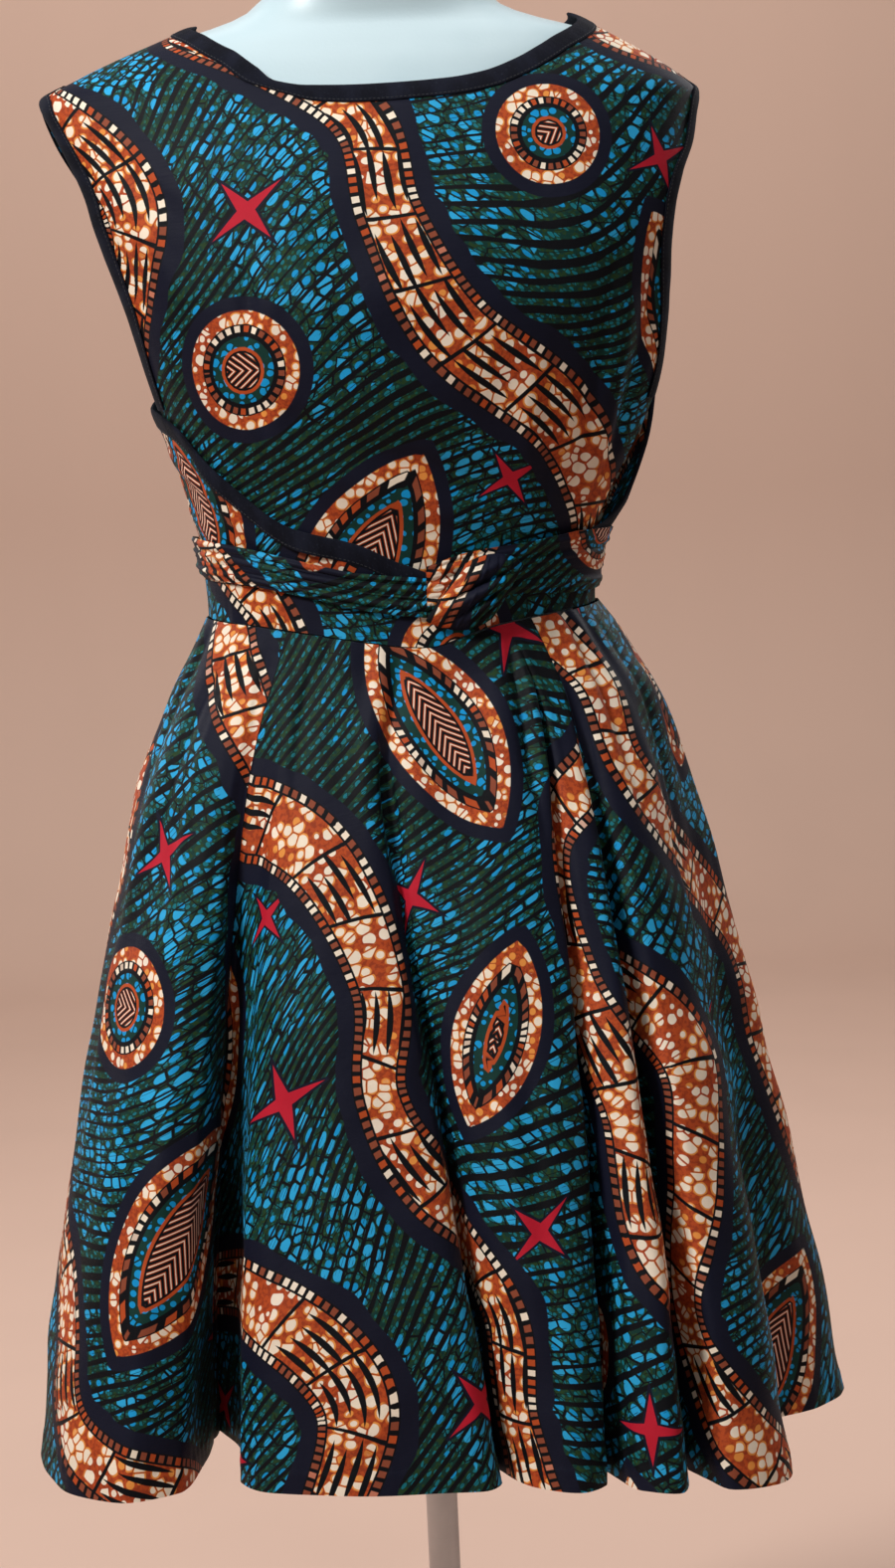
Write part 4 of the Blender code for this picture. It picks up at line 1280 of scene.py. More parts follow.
TAPE_PROFILE = np.array([
    # (into the cloth from its edge, out from the cloth's middle), going round the tape: over the
    # outside, round the edge and back along the inside
    (BINDING_WIDTH, 0.00066), (BINDING_WIDTH, 0.00120), (BINDING_WIDTH - 0.0005, 0.00152),
    (BINDING_WIDTH - 0.0016, 0.00150), (0.0105, 0.00178), (0.0070, 0.00192), (0.0035, 0.00184),
    (0.0012, 0.00160), (-0.0004, 0.00110), (-0.0010, 0.00040), (-0.0010, -0.00035),
    (-0.0004, -0.00080), (0.0010, -0.00100), (0.0060, -0.00106), (0.0108, -0.00104),
    (0.0113, -0.00084), (0.0108, -0.00060), (0.0008, -0.00058), (-0.0002, 0.0), (0.0002, 0.00064),
])
TAPE_SPACING = 0.003  # between the tape's cross-sections
RIPPLE_LENGTH = 0.012
RIPPLE_HEIGHT = 0.00016
STITCH_PITCH = 0.0031
STITCH_LENGTH = 0.0021


def resampled(path, spacing, *others):
    """The path at even spacing, and other per-point arrays carried to the same places."""
    length = lengths(path, 0)
    count = max(3, int(round(length[-1] / spacing)) + 1)
    at = np.linspace(0, length[-1], count)

    def carry(values):
        return np.column_stack([np.interp(at, length, column) for column in values.T])

    return at, carry(path), [carry(values) for values in others]


def stitch_row(path, normals, pitch=STITCH_PITCH, length=STITCH_LENGTH, thick=0.00028):
    """Vertices and faces of small spindle stitches along a path."""
    _, line, (outward,) = resampled(path, pitch, normals)
    outward = unit(outward)
    along = unit(np.gradient(line, axis=0))
    side = np.cross(along, outward)
    vertices, faces = [], []
    for place, a, s, n in zip(line, along, side, outward):
        base = len(vertices)
        for share, size in ((-0.5, 0.35), (-0.2, 1.0), (0.2, 1.0), (0.5, 0.35)):
            middle = place + a * length * share + n * (thick * (0.5 if size > 0.5 else 0.1))
            for turn in range(4):
                angle = math.pi * (0.25 + turn / 2)
                off = s * math.cos(angle) + n * math.sin(angle) * 0.8
                vertices.append(middle + off * thick * size)
        for ring in range(3):
            for turn in range(4):
                a0, b0 = base + ring * 4 + turn, base + ring * 4 + (turn + 1) % 4
                faces.append((a0, b0, b0 + 4, a0 + 4))
        faces.append((base + 3, base + 2, base + 1, base))
        faces.append((base + 12, base + 13, base + 14, base + 15))
    return vertices, faces


STITCHES = []  # one entry for each row


def keep_stitches(path, normals, **sizes):
    STITCHES.append(stitch_row(path, normals, **sizes))


def softened(values, reach, closed):
    """Each row averaged with its neighbours up to reach rows away, and made a unit again."""
    weights = np.hanning(2 * reach + 3)[1:-1]
    padded = np.pad(values, ((reach, reach), (0, 0)), mode="wrap" if closed else "edge")
    mean = np.column_stack([np.convolve(padded[:, k], weights, "valid") for k in range(3)])
    return unit(mean)


def edge_normals(lines, closed=False):
    """Outward normals along a cloth's edge. The lines run along it, each further into the cloth."""
    edge = lines[0]
    if closed:
        onward = np.roll(edge, -1, axis=0) - np.roll(edge, 1, axis=0)
    else:
        onward = np.gradient(edge, axis=0)
    normals = softened(np.cross(unit(lines[-1] - edge), unit(onward)), 7, closed)
    return normals * np.sign(((edge - BODY_MIDDLE) * normals).sum())


def add_tape(node, lines, normals, seed, lift=0.0):
    """Bias tape folded over an edge. The lines run along the edge, each further into the cloth."""
    at, path, (normals, *rows) = resampled(lines[0], TAPE_SPACING, normals, *lines[1:])
    normals = unit(normals)
    rows = np.stack([path] + rows, axis=1)
    depth = lengths(rows, 1)
    step = (rows[:, 1] - path) / depth[:, 1:2]
    random = np.random.default_rng(seed)
    ripples = max(4, int(at[-1] / RIPPLE_LENGTH))
    ripple = np.interp(at, np.linspace(0, at[-1], ripples), random.uniform(-1, 1, ripples))
    ripple = ripple[:, None] * RIPPLE_HEIGHT
    last = (rows[:, -1] - rows[:, -2]) / (depth[:, -1:] - depth[:, -2:-1])

    def inside(distance):
        if distance <= 0:
            return path + step * distance
        reached = np.array([
            [np.interp(distance, depth[i], rows[i, :, k]) for k in range(3)] for i in range(len(path))
        ])
        return reached + last * np.maximum(distance - depth[:, -1:], 0)

    rings = np.stack([
        inside(distance) + normals * (out + lift + ripple * (out > 0.001))
        for distance, out in TAPE_PROFILE
    ], axis=1)
    count, around = rings.shape[:2]
    index = np.arange(count * around).reshape(count, around)
    after = np.roll(index, -1, axis=1)
    faces = np.stack([index[:-1], after[:-1], after[1:], index[1:]], axis=-1).reshape(-1, 4).tolist()
    faces += [index[0][::-1].tolist(), index[-1].tolist()]
    if (np.cross(step, normals) * np.gradient(path, axis=0)).sum() < 0:
        faces = [face[::-1] for face in faces]
    item = add_piece(node + "_tape", rings.reshape(-1, 3), faces, "bias_binding", sharp=60)
    flat = np.stack(np.broadcast_arrays(at[:, None], lengths(TAPE_PROFILE, 0)), axis=-1)
    keep_field(item.data, "cloth", flat.reshape(-1, 2))
    settle(item, [node])
    keep_stitches(inside(BINDING_WIDTH - 0.0018) + normals * (0.00150 + lift), normals)


def add_joined_tapes(runs, nodes, closed=False, lift=0.0):
    """Two tapes that run on from one another, along the front bodice and then along the back."""
    normals = edge_normals(np.concatenate(runs, axis=1), closed)
    count = runs[0].shape[1]
    for node, run, part in zip(nodes, runs, (normals[:count], normals[count:])):
        add_tape(node, run, part, 3 + len(STITCHES), lift)


TAPE_STEPS = np.linspace(0, 1, 6)[:, None]
SHOULDER_TIP = 0.022  # length of the armhole's edge over which its tape turns to lie towards the neck
NECK_REACH = 0.045  # share of a panel's height that the lines for the neck's tape reach down
ARMHOLE_REACH = 0.20  # share of a panel's half-width that those for the armhole's tape reach in
ARMHOLE_LIFT = 0.0006  # the armhole's tapes lie over the neck's where they meet


def add_bodice_tapes():
    facings = ("front", "back")
    fine = np.linspace(-1, 1, 300)
    runs = []
    for facing, order in zip(facings, (1, -1)):
        share, drop = np.broadcast_arrays(fine[None, ::order], NECK_REACH * TAPE_STEPS)
        runs.append(bodice_surface(facing, share, drop)[0])
    add_joined_tapes(runs, ["neck_binding_" + facing for facing in facings], closed=True)
    for side, sign in (("left", -1.0), ("right", 1.0)):
        runs = []
        for facing, order in zip(facings, (-1, 1)):
            drops = np.linspace(TIP_DROP[side], 1, 400)
            edge, _ = bodice_surface(facing, np.full(drops.shape, sign), drops)
            tip = np.exp(-((np.linalg.norm(edge - edge[0], axis=1) / SHOULDER_TIP) ** 2))
            share = sign * (1 - ARMHOLE_REACH * (1 - tip) * TAPE_STEPS)
            lines, _ = bodice_surface(facing, share, drops - 0.07 * tip * TAPE_STEPS)
            shown = edge[:, 2] >= WAIST_HEIGHT + BINDING_END[facing][side] - 0.004
            runs.append(lines[:, shown][:, ::order])
        nodes = ["armhole_binding_%s_%s" % (facing, side) for facing in facings]
        add_joined_tapes(runs, nodes, lift=ARMHOLE_LIFT)


SASH_COVER = 0.030  # rise up to which the sash covers it


def wrap_cover(angle):
    """Rise up to which the waist's layers cover the front bodice."""
    left, right = read(WRAP_LEFT_TOP, angle), read(WRAP_RIGHT_TOP, angle)
    wraps = [np.maximum(left, SASH_COVER), np.maximum(right, SASH_COVER)]
    return np.select([angle <= 9, angle >= 60], wraps, SASH_COVER)


# Creases of the wraps: depth, width, then (angle, rise) points
WRAP_LEFT_CREASES = (
    (0.0020, 0.0070, ((-96, 0.110), (-70, 0.085), (-40, 0.030))),
    (-0.0012, 0.0050, ((-92, 0.095), (-64, 0.070), (-36, 0.012))),
    (0.0018, 0.0065, ((-84, 0.124), (-60, 0.088), (-34, 0.045))),
    (0.0016, 0.0060, ((-94, 0.065), (-70, 0.045), (-48, 0.010))),
    (-0.0010, 0.0050, ((-96, 0.050), (-74, 0.026), (-58, 0.004))),
    (0.0014, 0.0060, ((-50, 0.068), (-30, 0.040), (-12, 0.018))),
)
WRAP_RIGHT_CREASES = (
    (0.0016, 0.0060, ((97, 0.110), (88, 0.060), (76, 0.020))),
    (-0.0010, 0.0045, ((97, 0.070), (86, 0.036), (74, 0.006))),
    (0.0014, 0.0060, ((97, 0.045), (84, 0.018), (70, 0.000))),
)


def add_wraps():
    for name, table, folds, seed, columns in (
        ("left", WRAP_LEFT_TOP, WRAP_LEFT_CREASES, 21, 110),
        ("right", WRAP_RIGHT_TOP, WRAP_RIGHT_CREASES, 22, 56),
    ):
        turns = np.linspace(table[0][0], table[-1][0], columns)
        angle, share = np.meshgrid(turns, np.linspace(0, 1, 30))
        top = read(table, angle)
        bottom = band_top(angle) + 2 * GAP
        rise = top + (bottom - top) * share
        cloth = bodice_cloth(angle, rise)
        out = creases(np.stack([angle, rise], axis=-1), folds, BODICE_SCALE)
        out = out + crumple(cloth, seed, 0.05, 0.0006)
        out = np.maximum(out, -0.0009) * smooth(share, (0, 0.12, 0.9, 1.0), (0.35, 1, 1, 0.5))
        points = figure_point(angle, rise, wrap_out(angle) + out)
        add_cloth("wrap_" + name, points, cloth)
        lines = points[:4]
        add_tape("wrap_binding_" + name, lines, edge_normals(lines), 31 + seed)


def ruck(place, along, seed, height, pitch):
    """Fine uneven ridges side by side over place, which drift as they run along."""
    random = np.random.default_rng(seed)
    total = np.zeros(place.shape)
    for octave in (1.0, 0.62, 0.41):
        phase = random.uniform(0, 2 * np.pi)
        drift = random.uniform(-1, 1)
        bend = 0.5 * np.sin(along * random.uniform(14, 30) + random.uniform(0, 6))
        wave = np.sin(2 * np.pi * place / (pitch * octave) + phase + drift * along * 8 + bend * 2)
        # narrow ridges with broader hollows between
        total += octave * (np.power((wave + 1) / 2, 1.6) - 0.4)
    return total * height


def add_waistband():
    turns = np.linspace(-180, 180, 300, endpoint=False)
    angle, share = np.meshgrid(turns, np.linspace(0, 1, 16))
    low = read(BAND_LOW, angle)
    rise = low + WAISTBAND_WIDTH * (1 - share)
    plain = figure_point(angle, rise, WRAP_OUT)
    run = lengths(np.hstack([plain, plain[:, :1]]), 1)[:, :-1]
    run = run * (np.round(run[0, -1] / 0.004) * 0.004 / run[:, -1:])
    cloth = np.stack([run, WAISTBAND_WIDTH * (1 - share)], axis=-1)
    turn = np.radians(angle)
    waves = sum(
        np.sin(turn * count + phase) * size
        for count, phase, size in ((23, 0.3, 1.0), (37, 1.9, 0.8), (58, 4.0, 0.6), (91, 2.2, 0.45))
    )
    points = figure_point(angle, rise, WRAP_OUT + 0.0003 * waves * share)
    add_cloth("waistband", points, cloth, closed=True)


SASH_COMPRESSED = 1.35  # flat width of the sash for each metre of its creased width


def add_sashes():
    for name, table, front_out, seed in (
        ("left", SASH_LEFT, SASH_OUT, 41),
        ("right", SASH_RIGHT, CROSSING_OUT, 42),
    ):
        turns = np.linspace(table[0][0], table[-1][0], 260)
        angle, share = np.meshgrid(turns, np.linspace(0, 1, 40))
        top, bottom = read(table, angle)
        rise = top + (bottom - top) * share
        base = np.interp(np.abs(angle), CROSSING, (front_out, SASH_OUT))
        plain = figure_point(angle, rise, base)
        run = lengths(plain, 1)
        cloth = np.stack([run, -lengths(plain, 0) * SASH_COMPRESSED], axis=-1)
        # the pleats crowd together towards the knot
        near_knot = np.exp(-((angle - 10) / 34) ** 2)
        out = ruck(share + 0.05 * np.sin(run * 19), run, seed, 0.0010 + 0.0006 * near_knot, 0.36)
        out = out + ruck(share, run, seed + 5, 0.0005, 0.15) + 0.0010
        rim = smooth(share, (0, 0.10, 0.90, 1.0), (0.0, 1, 1, 0.0))
        ends = np.clip(off_ends(run) / 0.012, 0, 1)
        out = out * rim * (0.3 + 0.7 * ends) + 0.0004 * np.sin(run * 70 + seed) * rim
        points = figure_point(angle, rise, base + np.maximum(out, -0.0012))
        add_cloth("sash_" + name, points, cloth)


KNOT_SHEET = 0.0012  # thickness of the knot's cloth
KNOT_TURN = 32  # degrees that the knot's cloth lies off level
KNOT_SLANT = 9  # degrees round from its foot to its top
# Folds of the knot over (across from -1 to 1, share down): depth, width, line
KNOT_FOLDS = (
    (-0.0036, 0.050, ((0.86, 0.16), (0.30, 0.24), (-0.30, 0.40), (-0.80, 0.62))),
    (0.0024, 0.075, ((0.90, 0.30), (0.35, 0.36), (-0.20, 0.52), (-0.66, 0.76))),
    (-0.0030, 0.045, ((0.88, 0.44), (0.40, 0.50), (-0.05, 0.66), (-0.44, 0.88))),
    (0.0020, 0.070, ((0.84, 0.58), (0.46, 0.64), (0.10, 0.80), (-0.10, 0.95))),
    (-0.0024, 0.045, ((0.82, 0.72), (0.52, 0.78), (0.30, 0.94))),
    (0.0020, 0.060, ((0.60, 0.06), (0.05, 0.12), (-0.50, 0.26), (-0.86, 0.44))),
)


def add_knot():
    across, share = np.meshgrid(np.linspace(-1, 1, 60), np.linspace(0, 1, 64))
    angle = (KNOT_SPAN[0] + KNOT_SPAN[1]) / 2 + across * (KNOT_SPAN[1] - KNOT_SPAN[0]) / 2
    angle = angle + KNOT_SLANT * (0.5 - share)
    height = KNOT_TOP_RISE - KNOT_BOTTOM_RISE - 2 * KNOT_CORNER * across**2
    rise = (KNOT_TOP_RISE + KNOT_BOTTOM_RISE) / 2 + height * (0.5 - share)
    swell = KNOT_SWELL * np.sqrt(np.sin(np.pi * np.clip(share, 0.0, 1.0)) * np.ones_like(share))
    swell = np.nan_to_num(swell) * np.sqrt(np.clip(1 - across**2, 0, 1))
    tuck = LAYER * np.interp(rise, KNOT_TUCK, (1, 0))
    plain = figure_point(angle, rise, KNOT_OUT + swell - tuck)
    cloth = np.stack(in_axes(lengths(plain, 1), -lengths(plain, 0), math.radians(KNOT_TURN)), axis=-1)
    folds = creases(np.stack([across, share], axis=-1), KNOT_FOLDS, (0.5, 1.0))
    fade = np.clip((1 - np.abs(across)) / 0.12, 0, 1)
    fade = fade * np.clip(np.minimum(share, 1 - share) / 0.06, 0, 1)
    folds = (folds + ruck(across, share * 0.06, 51, 0.0005, 0.23)) * fade
    points = figure_point(angle, rise, KNOT_OUT + swell - tuck + folds)
    add_cloth("sash_knot", points, cloth, thickness=KNOT_SHEET)


# Creases of the skirt panels over (degrees at the waist, share down): depth, width, line.
# A degree counts as 3.2 mm and the whole drop as 600 mm.
SKIRT_SCALE = (0.0032, 0.60)
SKIRT_CREASES = (
    (-0.0055, 0.0050, ((-2.5, 0.00), (-4.3, 0.05), (-6.9, 0.11), (-8.7, 0.17), (-9.1, 0.28))),
    (0.0035, 0.0070, ((-6.5, 0.00), (-8.5, 0.05), (-11, 0.11), (-12.5, 0.17), (-12.5, 0.30))),
    (0.0022, 0.0080, ((2.5, 0.00), (0, 0.06), (-2.5, 0.14), (-3, 0.24))),
    (-0.0060, 0.0045, ((25, 0.00), (22.8, 0.05), (21.5, 0.10), (21.3, 0.16), (23, 0.26))),
    (0.0030, 0.0060, ((19.5, 0.00), (18, 0.06), (17, 0.14), (17, 0.24))),
    (0.0034, 0.0060, ((28.5, 0.00), (26, 0.05), (25, 0.11), (26, 0.22))),
    (-0.0030, 0.0080, ((-41, 0.00), (-37, 0.07), (-33.5, 0.14), (-32.5, 0.24))),
    (-0.0030, 0.0080, ((319, 0.00), (323, 0.07), (326.5, 0.14), (327.5, 0.24))),
    (-0.0030, 0.0080, ((304, 0.00), (303, 0.12), (302, 0.30))),
    (0.0026, 0.0100, ((312, 0.02), (313, 0.20), (314, 0.45))),
    (-0.0024, 0.0070, ((-24, 0.00), (-23.5, 0.10), (-22.5, 0.24))),
    (0.0030, 0.0110, ((-19, 0.30), (-18.5, 0.50), (-19, 0.80))),
    (-0.0026, 0.0100, ((-22.5, 0.45), (-21.5, 0.65), (-22, 0.92))),
    (-0.0028, 0.0070, ((8, 0.00), (8.5, 0.08), (8, 0.20))),
    (0.0026, 0.0100, ((6, 0.25), (5, 0.50), (4, 0.85))),
    (-0.0024, 0.0090, ((12, 0.35), (11, 0.60), (10, 0.95))),
    (-0.0032, 0.0070, ((37, 0.00), (36, 0.08), (36, 0.22))),
    (-0.0034, 0.0070, ((47, 0.00), (46, 0.10), (47, 0.26))),
    (0.0028, 0.0110, ((55, 0.10), (56, 0.35), (55, 0.70))),
    (-0.0032, 0.0080, ((64, 0.00), (66, 0.12), (68, 0.32))),
    (-0.0028, 0.0080, ((80, 0.00), (79, 0.10), (80, 0.26))),
    (0.0028, 0.0120, ((88, 0.06), (88, 0.35), (86, 0.72))),
    (-0.0026, 0.0080, ((101, 0.00), (100, 0.12), (101, 0.30))),
    (0.0030, 0.0110, ((110, 0.02), (110, 0.20), (111, 0.42))),
    (-0.0034, 0.0090, ((120, 0.00), (120, 0.16), (120, 0.34))),
    (0.0028, 0.0120, ((133, 0.05), (133, 0.30), (132, 0.66))),
    (-0.0034, 0.0080, ((145, 0.00), (145, 0.14), (146, 0.32))),
    (0.0026, 0.0110, ((156, 0.02), (155, 0.22), (154, 0.50))),
    (-0.0026, 0.0080, ((167, 0.00), (167, 0.10), (166, 0.24))),
    (-0.0034, 0.0080, ((178, 0.00), (178, 0.13), (179, 0.30))),
    (0.0028, 0.0120, ((190, 0.04), (190, 0.28), (189, 0.62))),
    (-0.0030, 0.0080, ((203, 0.00), (203, 0.12), (203, 0.30))),
    (0.0030, 0.0110, ((216, 0.04), (217, 0.30), (216, 0.64))),
    (-0.0030, 0.0080, ((229, 0.00), (229, 0.14), (228, 0.32))),
    (0.0026, 0.0110, ((239, 0.02), (239, 0.24), (240, 0.52))),
    (-0.0030, 0.0080, ((250, 0.00), (250, 0.13), (250, 0.30))),
    (0.0028, 0.0120, ((262, 0.05), (263, 0.30), (262, 0.62))),
    (-0.0028, 0.0080, ((275, 0.00), (276, 0.13), (276, 0.30))),
    (-0.0026, 0.0090, ((287, 0.00), (286, 0.10), (287, 0.24))),
    (0.0026, 0.0120, ((296, 0.08), (295, 0.36), (294, 0.70))),
)
HEM_DEPTH = 0.016
COLUMN_SPACING = 0.0036  # at the hem
SEAM_LINE = 0.0003  # between the cloths of two panels
SEAM_DIP = 0.0012  # depth of the furrow along a seam
SKIRT_ROWS = np.concatenate([
    np.linspace(0, 0.12, 22, endpoint=False),
    np.linspace(0.12, 0.965, 84, endpoint=False),
    np.linspace(0.965, 1.0, 14),
])


def sector(length_top, length_hem, drop, across, down):
    """Place on the flat flared panel: a ring sector with these arc lengths and depth."""
    turn = (length_hem - length_top) / drop
    radius = length_top / turn
    angle = (across - 0.5) * turn
    reach = radius + down * drop
    return np.stack([reach * np.sin(angle), -reach * np.cos(angle) + radius], axis=-1)


def gathers(place, share, seed):
    """Small uneven tucks under the waistband, over the running length round the waist."""
    random = np.random.default_rng(seed)
    total = np.zeros(share.shape)
    for _ in range(7):
        pitch = random.uniform(0.011, 0.030)
        phase = random.uniform(0, 2 * np.pi)
        reach = random.uniform(0.06, 0.19)
        wave = np.sin(2 * np.pi * place / pitch + phase + 1.4 * np.sin(place * random.uniform(20, 60)))
        total += wave * np.clip(1 - share / reach, 0, 1) ** 1.5 * pitch / 0.022
    return total * (0.25 + 0.75 * np.clip(share / 0.03, 0, 1)) * 0.00055


def skirt_grid(number, rows):
    """Points, hem angles and shares down of one skirt panel, with even columns along its folded hem."""
    name, low = PANELS[number]
    high = PANELS[number + 1][1] if number + 1 < len(PANELS) else PANELS[0][1] + 360
    fine = np.linspace(low, high, 12000)
    length = hem_length(fine)
    columns = int(length[-1] / COLUMN_SPACING)
    hem = np.interp(np.linspace(SEAM_LINE / 2, length[-1] - SEAM_LINE / 2, columns), length, fine)
    shift = np.linspace(1, -1, columns) * math.degrees(SEAM_LINE / 2 / WAIST_RADIUS)
    share, hem = np.meshgrid(rows, hem, indexing="ij")
    return name, skirt_point(hem, share, shift), hem, share


def add_skirt():
    for number in range(len(PANELS)):
        name, points, hem, share = skirt_grid(number, SKIRT_ROWS)
        columns = points.shape[1]
        run = lengths(points, 1)
        fall = lengths(points, 0)
        slant = float(np.mean(fall[-1]))
        across = run / run[:, -1:]
        down = fall / fall[-1:]
        cloth = sector(run[0, -1], run[-1, -1], slant, across, down)
        place = np.stack([fold_value(hem, "waist"), share], axis=-1)
        out = creases(place, SKIRT_CREASES, SKIRT_SCALE)
        out = out + crumple(cloth, 60 + number, 0.075, 0.0012) * np.clip(share / 0.1, 0, 1)
        out = out * smooth(share, (0, 0.05, 0.94, 1.0), (0.35, 1, 1, 0.75))
        off_seam = off_ends(run)
        loose = 0.15 + 0.85 * np.clip(off_seam / 0.010, 0, 1)
        out = out * loose - SEAM_DIP * np.exp(-((off_seam / 0.004) ** 2))
        out = out + gathers(run[0][None, :] + number * 0.4, share, 70 + number)
        below = (1 - share) * slant
        at_hem = run[-1][None, :]
        pucker = np.sin(at_hem * 2 * np.pi / 0.013 + 2.0 * np.sin(at_hem * 40)) * 0.00035
        out = out + pucker * np.exp(-(((below - HEM_DEPTH) / 0.010) ** 2))
        shown = points + grid_normals(points) * out[..., None]
        # the hem is turned up twice, so it is thicker below its stitches
        turned = 1 / (1 + np.exp(np.clip((below - HEM_DEPTH) / 0.0006, -30, 30)))
        thickness = SHEET * (1 + 0.9 * turned)
        add_cloth("skirt_" + name, shown, cloth, thickness=thickness[..., None])
        line = np.array([
            [np.interp(HEM_DEPTH - 0.002, below[::-1, j], shown[::-1, j, k]) for k in range(3)]
            for j in range(columns)
        ])
        normals = grid_normals(shown)[-6]
        line = line + normals * (SHEET * 0.62)
        keep_stitches(line, normals, pitch=0.0040, length=0.0022, thick=0.00026)


# ---------------------------------------------------------------------------------------------
# The dress form and its stand

PARTING_DEPTH = 0.0006
PARTING_HALF_WIDTH = 0.8  # degrees
FORM_FOOT = -0.285  # rise below which the form rounds in to its foot, with rows closer together
# The closed-in top and bottom of the form: shares of the last ring's size, and rises over the top one
FORM_CROWN = ((0.02, 0.0021), (0.4, 0.0019), (0.75, 0.0012), (0.92, 0.0005))
FORM_SOLE = (0.97, 0.6, 0.2, 0.02)


def add_form():
    """The moulded torso, with a parting line down each side and a rounded rim at its foot and neck."""
    sides = 144
    low, high = FORM[0][0], FORM[-1][0]
    rounding = np.linspace(low, FORM_FOOT, 12, endpoint=False)
    rises = np.concatenate([rounding, np.linspace(FORM_FOOT, high, 150)])[::-1]
    angle, rise = np.meshgrid(np.arange(sides) * 360 / sides, rises)
    width, front, back = read(FORM, rise)
    parting = np.exp(-(((np.mod(angle, 180) - 90) / PARTING_HALF_WIDTH) ** 2))
    x, y = section(angle, width, width, front, back)
    reach = np.hypot(x, y)
    x, y = x * (1 - parting * PARTING_DEPTH / reach), y * (1 - parting * PARTING_DEPTH / reach)
    points = np.stack([x, y, WAIST_HEIGHT + rise], axis=-1)
    crown = [points[0] * (size, size, 1) + (0, 0, lift) for size, lift in FORM_CROWN]
    sole = [points[-1] * (size, size, 1) for size in FORM_SOLE]
    add_rings("dress_form_shell", np.concatenate([crown, points, sole]), "form_shell", "dress_form")


def add_turned(name, profile, node, sides):
    """A steel solid of revolution about +Z from a profile that runs down its outer side."""
    turn = np.arange(sides) * 2 * np.pi / sides
    radius, height = np.array(profile)[1:-1].T[..., None]
    places = (radius * np.cos(turn), radius * np.sin(turn), np.repeat(height, sides, 1))
    add_rings(name, np.stack(places, axis=-1), "stand_metal", node)


def rounded_profile(corners, radius, steps=5):
    """The profile with each inner corner cut to a small arc."""
    corners = [np.array(corner, float) for corner in corners]
    line = [corners[0]]
    for before, corner, after in zip(corners, corners[1:], corners[2:]):
        first, second = before - corner, after - corner
        cut = min(radius, 0.45 * np.linalg.norm(first), 0.45 * np.linalg.norm(second))
        start = corner + first / np.linalg.norm(first) * cut
        end = corner + second / np.linalg.norm(second) * cut
        for t in np.linspace(0, 1, steps):
            line.append(start * (1 - t) ** 2 + corner * 2 * t * (1 - t) + end * t**2)
    return line + [corners[-1]]


POLE_JOIN = 0.640  # height at which the upper pole's tube ends over the lower one
POLE_STEP = 0.0006  # between their radii


def add_stand():
    foot = WAIST_HEIGHT + FORM[0][0]
    top = foot - GAP
    pole_foot = HUB_HEIGHT + GAP
    below = top - FLANGE_THICKNESS
    inner = POLE_RADIUS - POLE_STEP
    pole = [
        (0, top), (FLANGE_RADIUS, top), (FLANGE_RADIUS, below),
        (POLE_RADIUS + 0.004, below - 0.003), (POLE_RADIUS, below - 0.012),
        (POLE_RADIUS, POLE_JOIN), (inner, POLE_JOIN - POLE_STEP), (inner, pole_foot), (0, pole_foot),
    ]
    add_turned("stand_pole_steel", rounded_profile(pole, 0.0008), "stand_pole", sides=96)
    base = [
        (0, HUB_HEIGHT), (HUB_RADIUS, HUB_HEIGHT), (HUB_RADIUS, BASE_THICKNESS),
        (BASE_RADIUS, BASE_THICKNESS), (BASE_RADIUS, 0), (0, 0),
    ]
    profile = rounded_profile(base, 0.0015)
    soft = rounded_profile(base[2:5], BASE_EDGE, steps=9)[1:-1]
    profile = profile[:11] + soft + profile[-6:]
    add_turned("stand_base_steel", profile, "stand_base", sides=160)


# ---------------------------------------------------------------------------------------------
# The studio

CAMERA_TURN = -2.4  # degrees round the object from straight in front
CAMERA_DISTANCE = 2.4
CAMERA_LIFT = 0.098  # above the waist line
CAMERA_PITCH = 5.96  # degrees down
CAMERA_ROLL = -2.56
CAMERA_AIM = -0.68  # degrees turned aside from the object's middle
CAMERA_FOCAL = 3.269  # focal length for each metre of a 1.576 m tall picture
PICTURE_HEIGHT = 1.576
SENSOR_HEIGHT = 24.0

WALL_COLOUR = linear(200, 170, 154)
WALL_PLACE = 5.4  # metres behind the object
WALL_HEIGHT = 7.0
WALL_BEND = 1.0  # radius of the curve at its foot
FLOOR_REACH = 24.0  # to the front and to each side
FLOOR_DROP = 0.0005  # below the stand

# Area lights: name, place, the point faced, width, height, power in watts, colour
LIGHTS = (
    ("key", (-2.1, -1.7, 3.1), (0, 0, 1.1), 0.8, 0.8, 108, (1.0, 0.98, 0.95)),
    ("fill", (2.6, -2.2, 1.4), (0, 0, 0.9), 1.8, 1.8, 6, (0.96, 0.98, 1.0)),
    ("top", (0.2, -0.3, 3.1), (0, 0, 0.8), 1.8, 1.4, 19, (1.0, 0.98, 0.96)),
    ("back_right", (1.9, 1.8, 2.3), (0, 0, 1.0), 1.2, 1.2, 26, (0.98, 0.98, 1.0)),
    ("back_left", (-1.9, 1.8, 1.7), (0, 0, 1.0), 1.2, 1.2, 16, (0.98, 0.98, 1.0)),
    ("wall", (0, 2.2, 4.4), (0, 5.4, 1.3), 3.6, 0.8, 135, (1.0, 0.97, 0.94)),
)
WORLD_COLOUR = (0.86, 0.80, 0.76, 1.0)
WORLD_STRENGTH = 0.13


def placement(side, up, away, place):
    """The matrix that puts a camera or a light at place, turned to look the other way from away."""
    matrix = np.eye(4)
    matrix[:3] = np.column_stack([side, up, away, place])
    return Matrix(matrix.tolist())


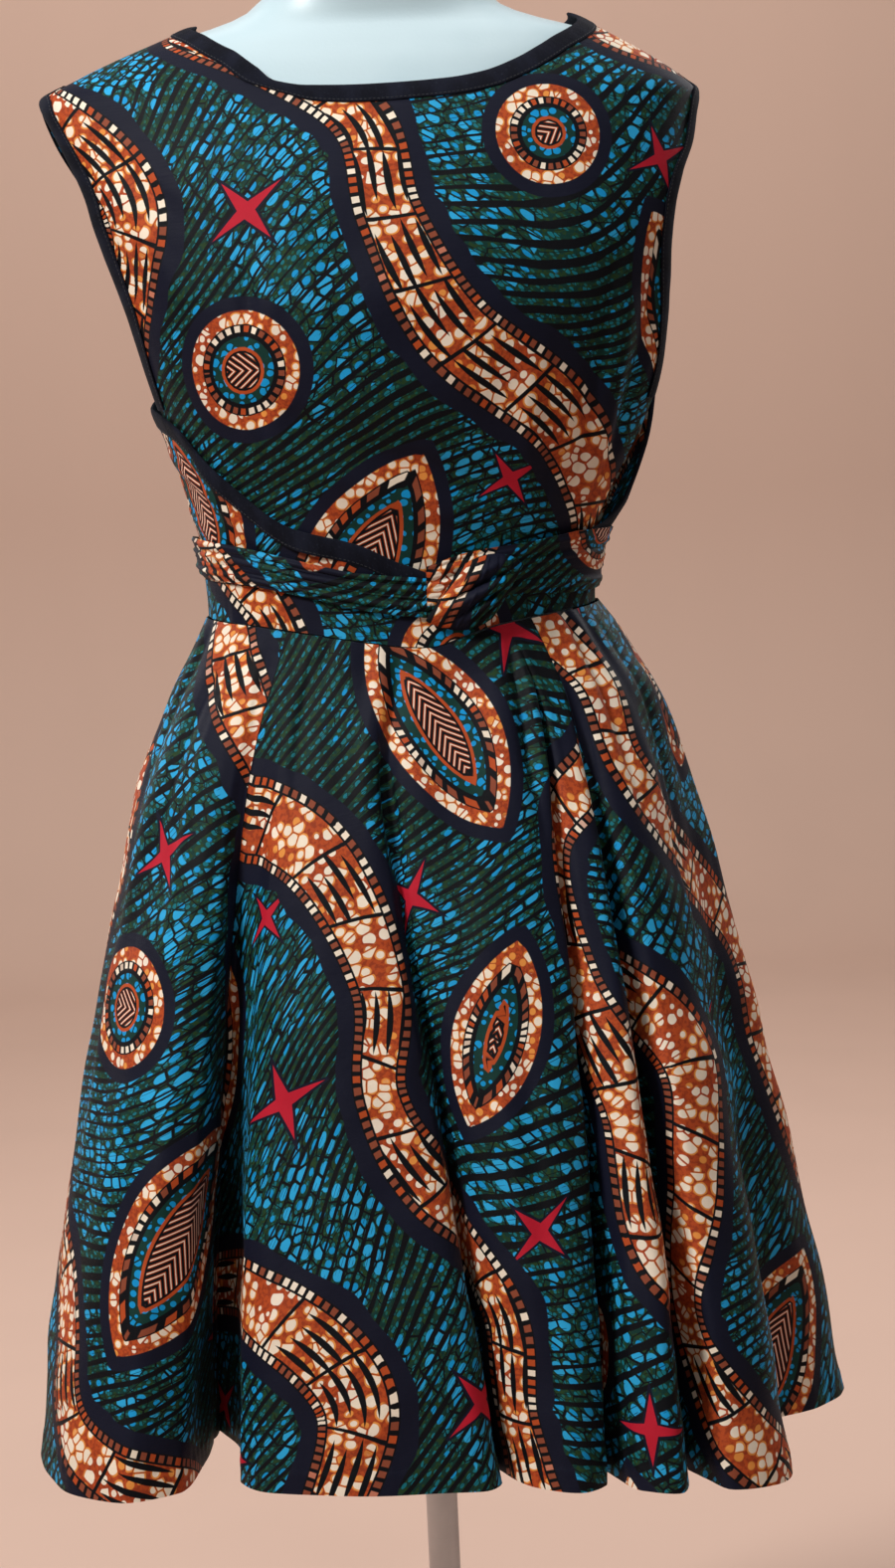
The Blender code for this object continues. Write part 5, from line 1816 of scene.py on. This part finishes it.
def add_camera():
    data = bpy.data.cameras.new("camera")
    camera = add_object("camera", data)
    turn = math.radians(CAMERA_TURN)
    place = np.array([math.sin(turn), -math.cos(turn), 0]) * CAMERA_DISTANCE
    place = place + (0, 0, WAIST_HEIGHT + CAMERA_LIFT)
    yaw = turn + math.radians(CAMERA_AIM)
    pitch, roll = math.radians(CAMERA_PITCH), math.radians(CAMERA_ROLL)
    level = math.cos(pitch)
    ahead = np.array([-math.sin(yaw) * level, math.cos(yaw) * level, -math.sin(pitch)])
    right = unit(np.cross(ahead, (0, 0, 1)))
    up = np.cross(right, ahead)
    side = right * math.cos(roll) + up * math.sin(roll)
    top = up * math.cos(roll) - right * math.sin(roll)
    camera.matrix_world = placement(side, top, -ahead, place)
    data.sensor_fit = "VERTICAL"
    data.sensor_height = SENSOR_HEIGHT
    data.lens = SENSOR_HEIGHT * CAMERA_FOCAL / PICTURE_HEIGHT
    data.clip_end = 30
    bpy.context.scene.camera = camera


def wall_paint():
    g = Graph("backdrop")
    tone = g.noise(g.object_place(), 3.0, 2.0)
    darker = tuple(0.97 * value for value in WALL_COLOUR[:3]) + (1.0,)
    g.set(Base_Color=g.mix(g.rise(tone, 0.3, 0.9), WALL_COLOUR, darker), Roughness=0.85)
    return g.material


def add_backdrop():
    """A plain floor that curves up into a wall behind, well clear of the object."""
    start = WALL_PLACE - WALL_BEND
    profile = [(-FLOOR_REACH, 0.0), (start, 0.0)]
    for turn in np.linspace(0, math.pi / 2, 20)[1:]:
        profile.append((start + WALL_BEND * math.sin(turn), WALL_BEND - WALL_BEND * math.cos(turn)))
    profile.append((WALL_PLACE, WALL_HEIGHT))
    vertices = [(x, y, z - FLOOR_DROP) for y, z in profile for x in (-FLOOR_REACH, FLOOR_REACH)]
    faces = [(i, i + 1, i + 3, i + 2) for i in range(0, 2 * len(profile) - 2, 2)]
    add_mesh("backdrop", vertices, faces, wall_paint())


def add_light(name, place, aim, width, height, power, colour):
    data = bpy.data.lights.new(name, "AREA")
    data.shape = "RECTANGLE"
    data.size, data.size_y = width, height
    data.energy = power
    data.color = colour
    item = add_object(name, data)
    item.visible_camera = False
    away = unit(np.array(place, float) - aim)
    side = unit(np.cross((0, 0, 1), away))
    item.matrix_world = placement(side, np.cross(away, side), away, place)


def add_studio():
    add_camera()
    add_backdrop()
    for light in LIGHTS:
        add_light(*light)
    world = bpy.data.worlds.new("studio")
    bpy.context.scene.world = world
    world.use_nodes = True
    background = world.node_tree.nodes["Background"]
    background.inputs["Color"].default_value = WORLD_COLOUR
    background.inputs["Strength"].default_value = WORLD_STRENGTH
    bpy.context.scene.view_settings.view_transform = "Standard"


def add_stitches():
    vertices, faces = [], []
    for points, quads in STITCHES:
        base = len(vertices)
        vertices += points
        faces += [tuple(base + corner for corner in quad) for quad in quads]
    item = add_piece("stitches", vertices, faces, "thread", sharp=60)
    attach(item, "root")
    return item


def main():
    MATERIALS.update(
        wax_print_cotton=wax_print(),
        bias_binding=bias_tape(),
        thread=thread(),
        form_shell=form_shell(),
        stand_metal=stand_metal(),
    )
    add_form()
    add_stand()
    add_bodice()
    add_bodice_tapes()
    add_wraps()
    add_waistband()
    add_sashes()
    add_knot()
    add_skirt()
    add_stitches()
    add_studio()


main()
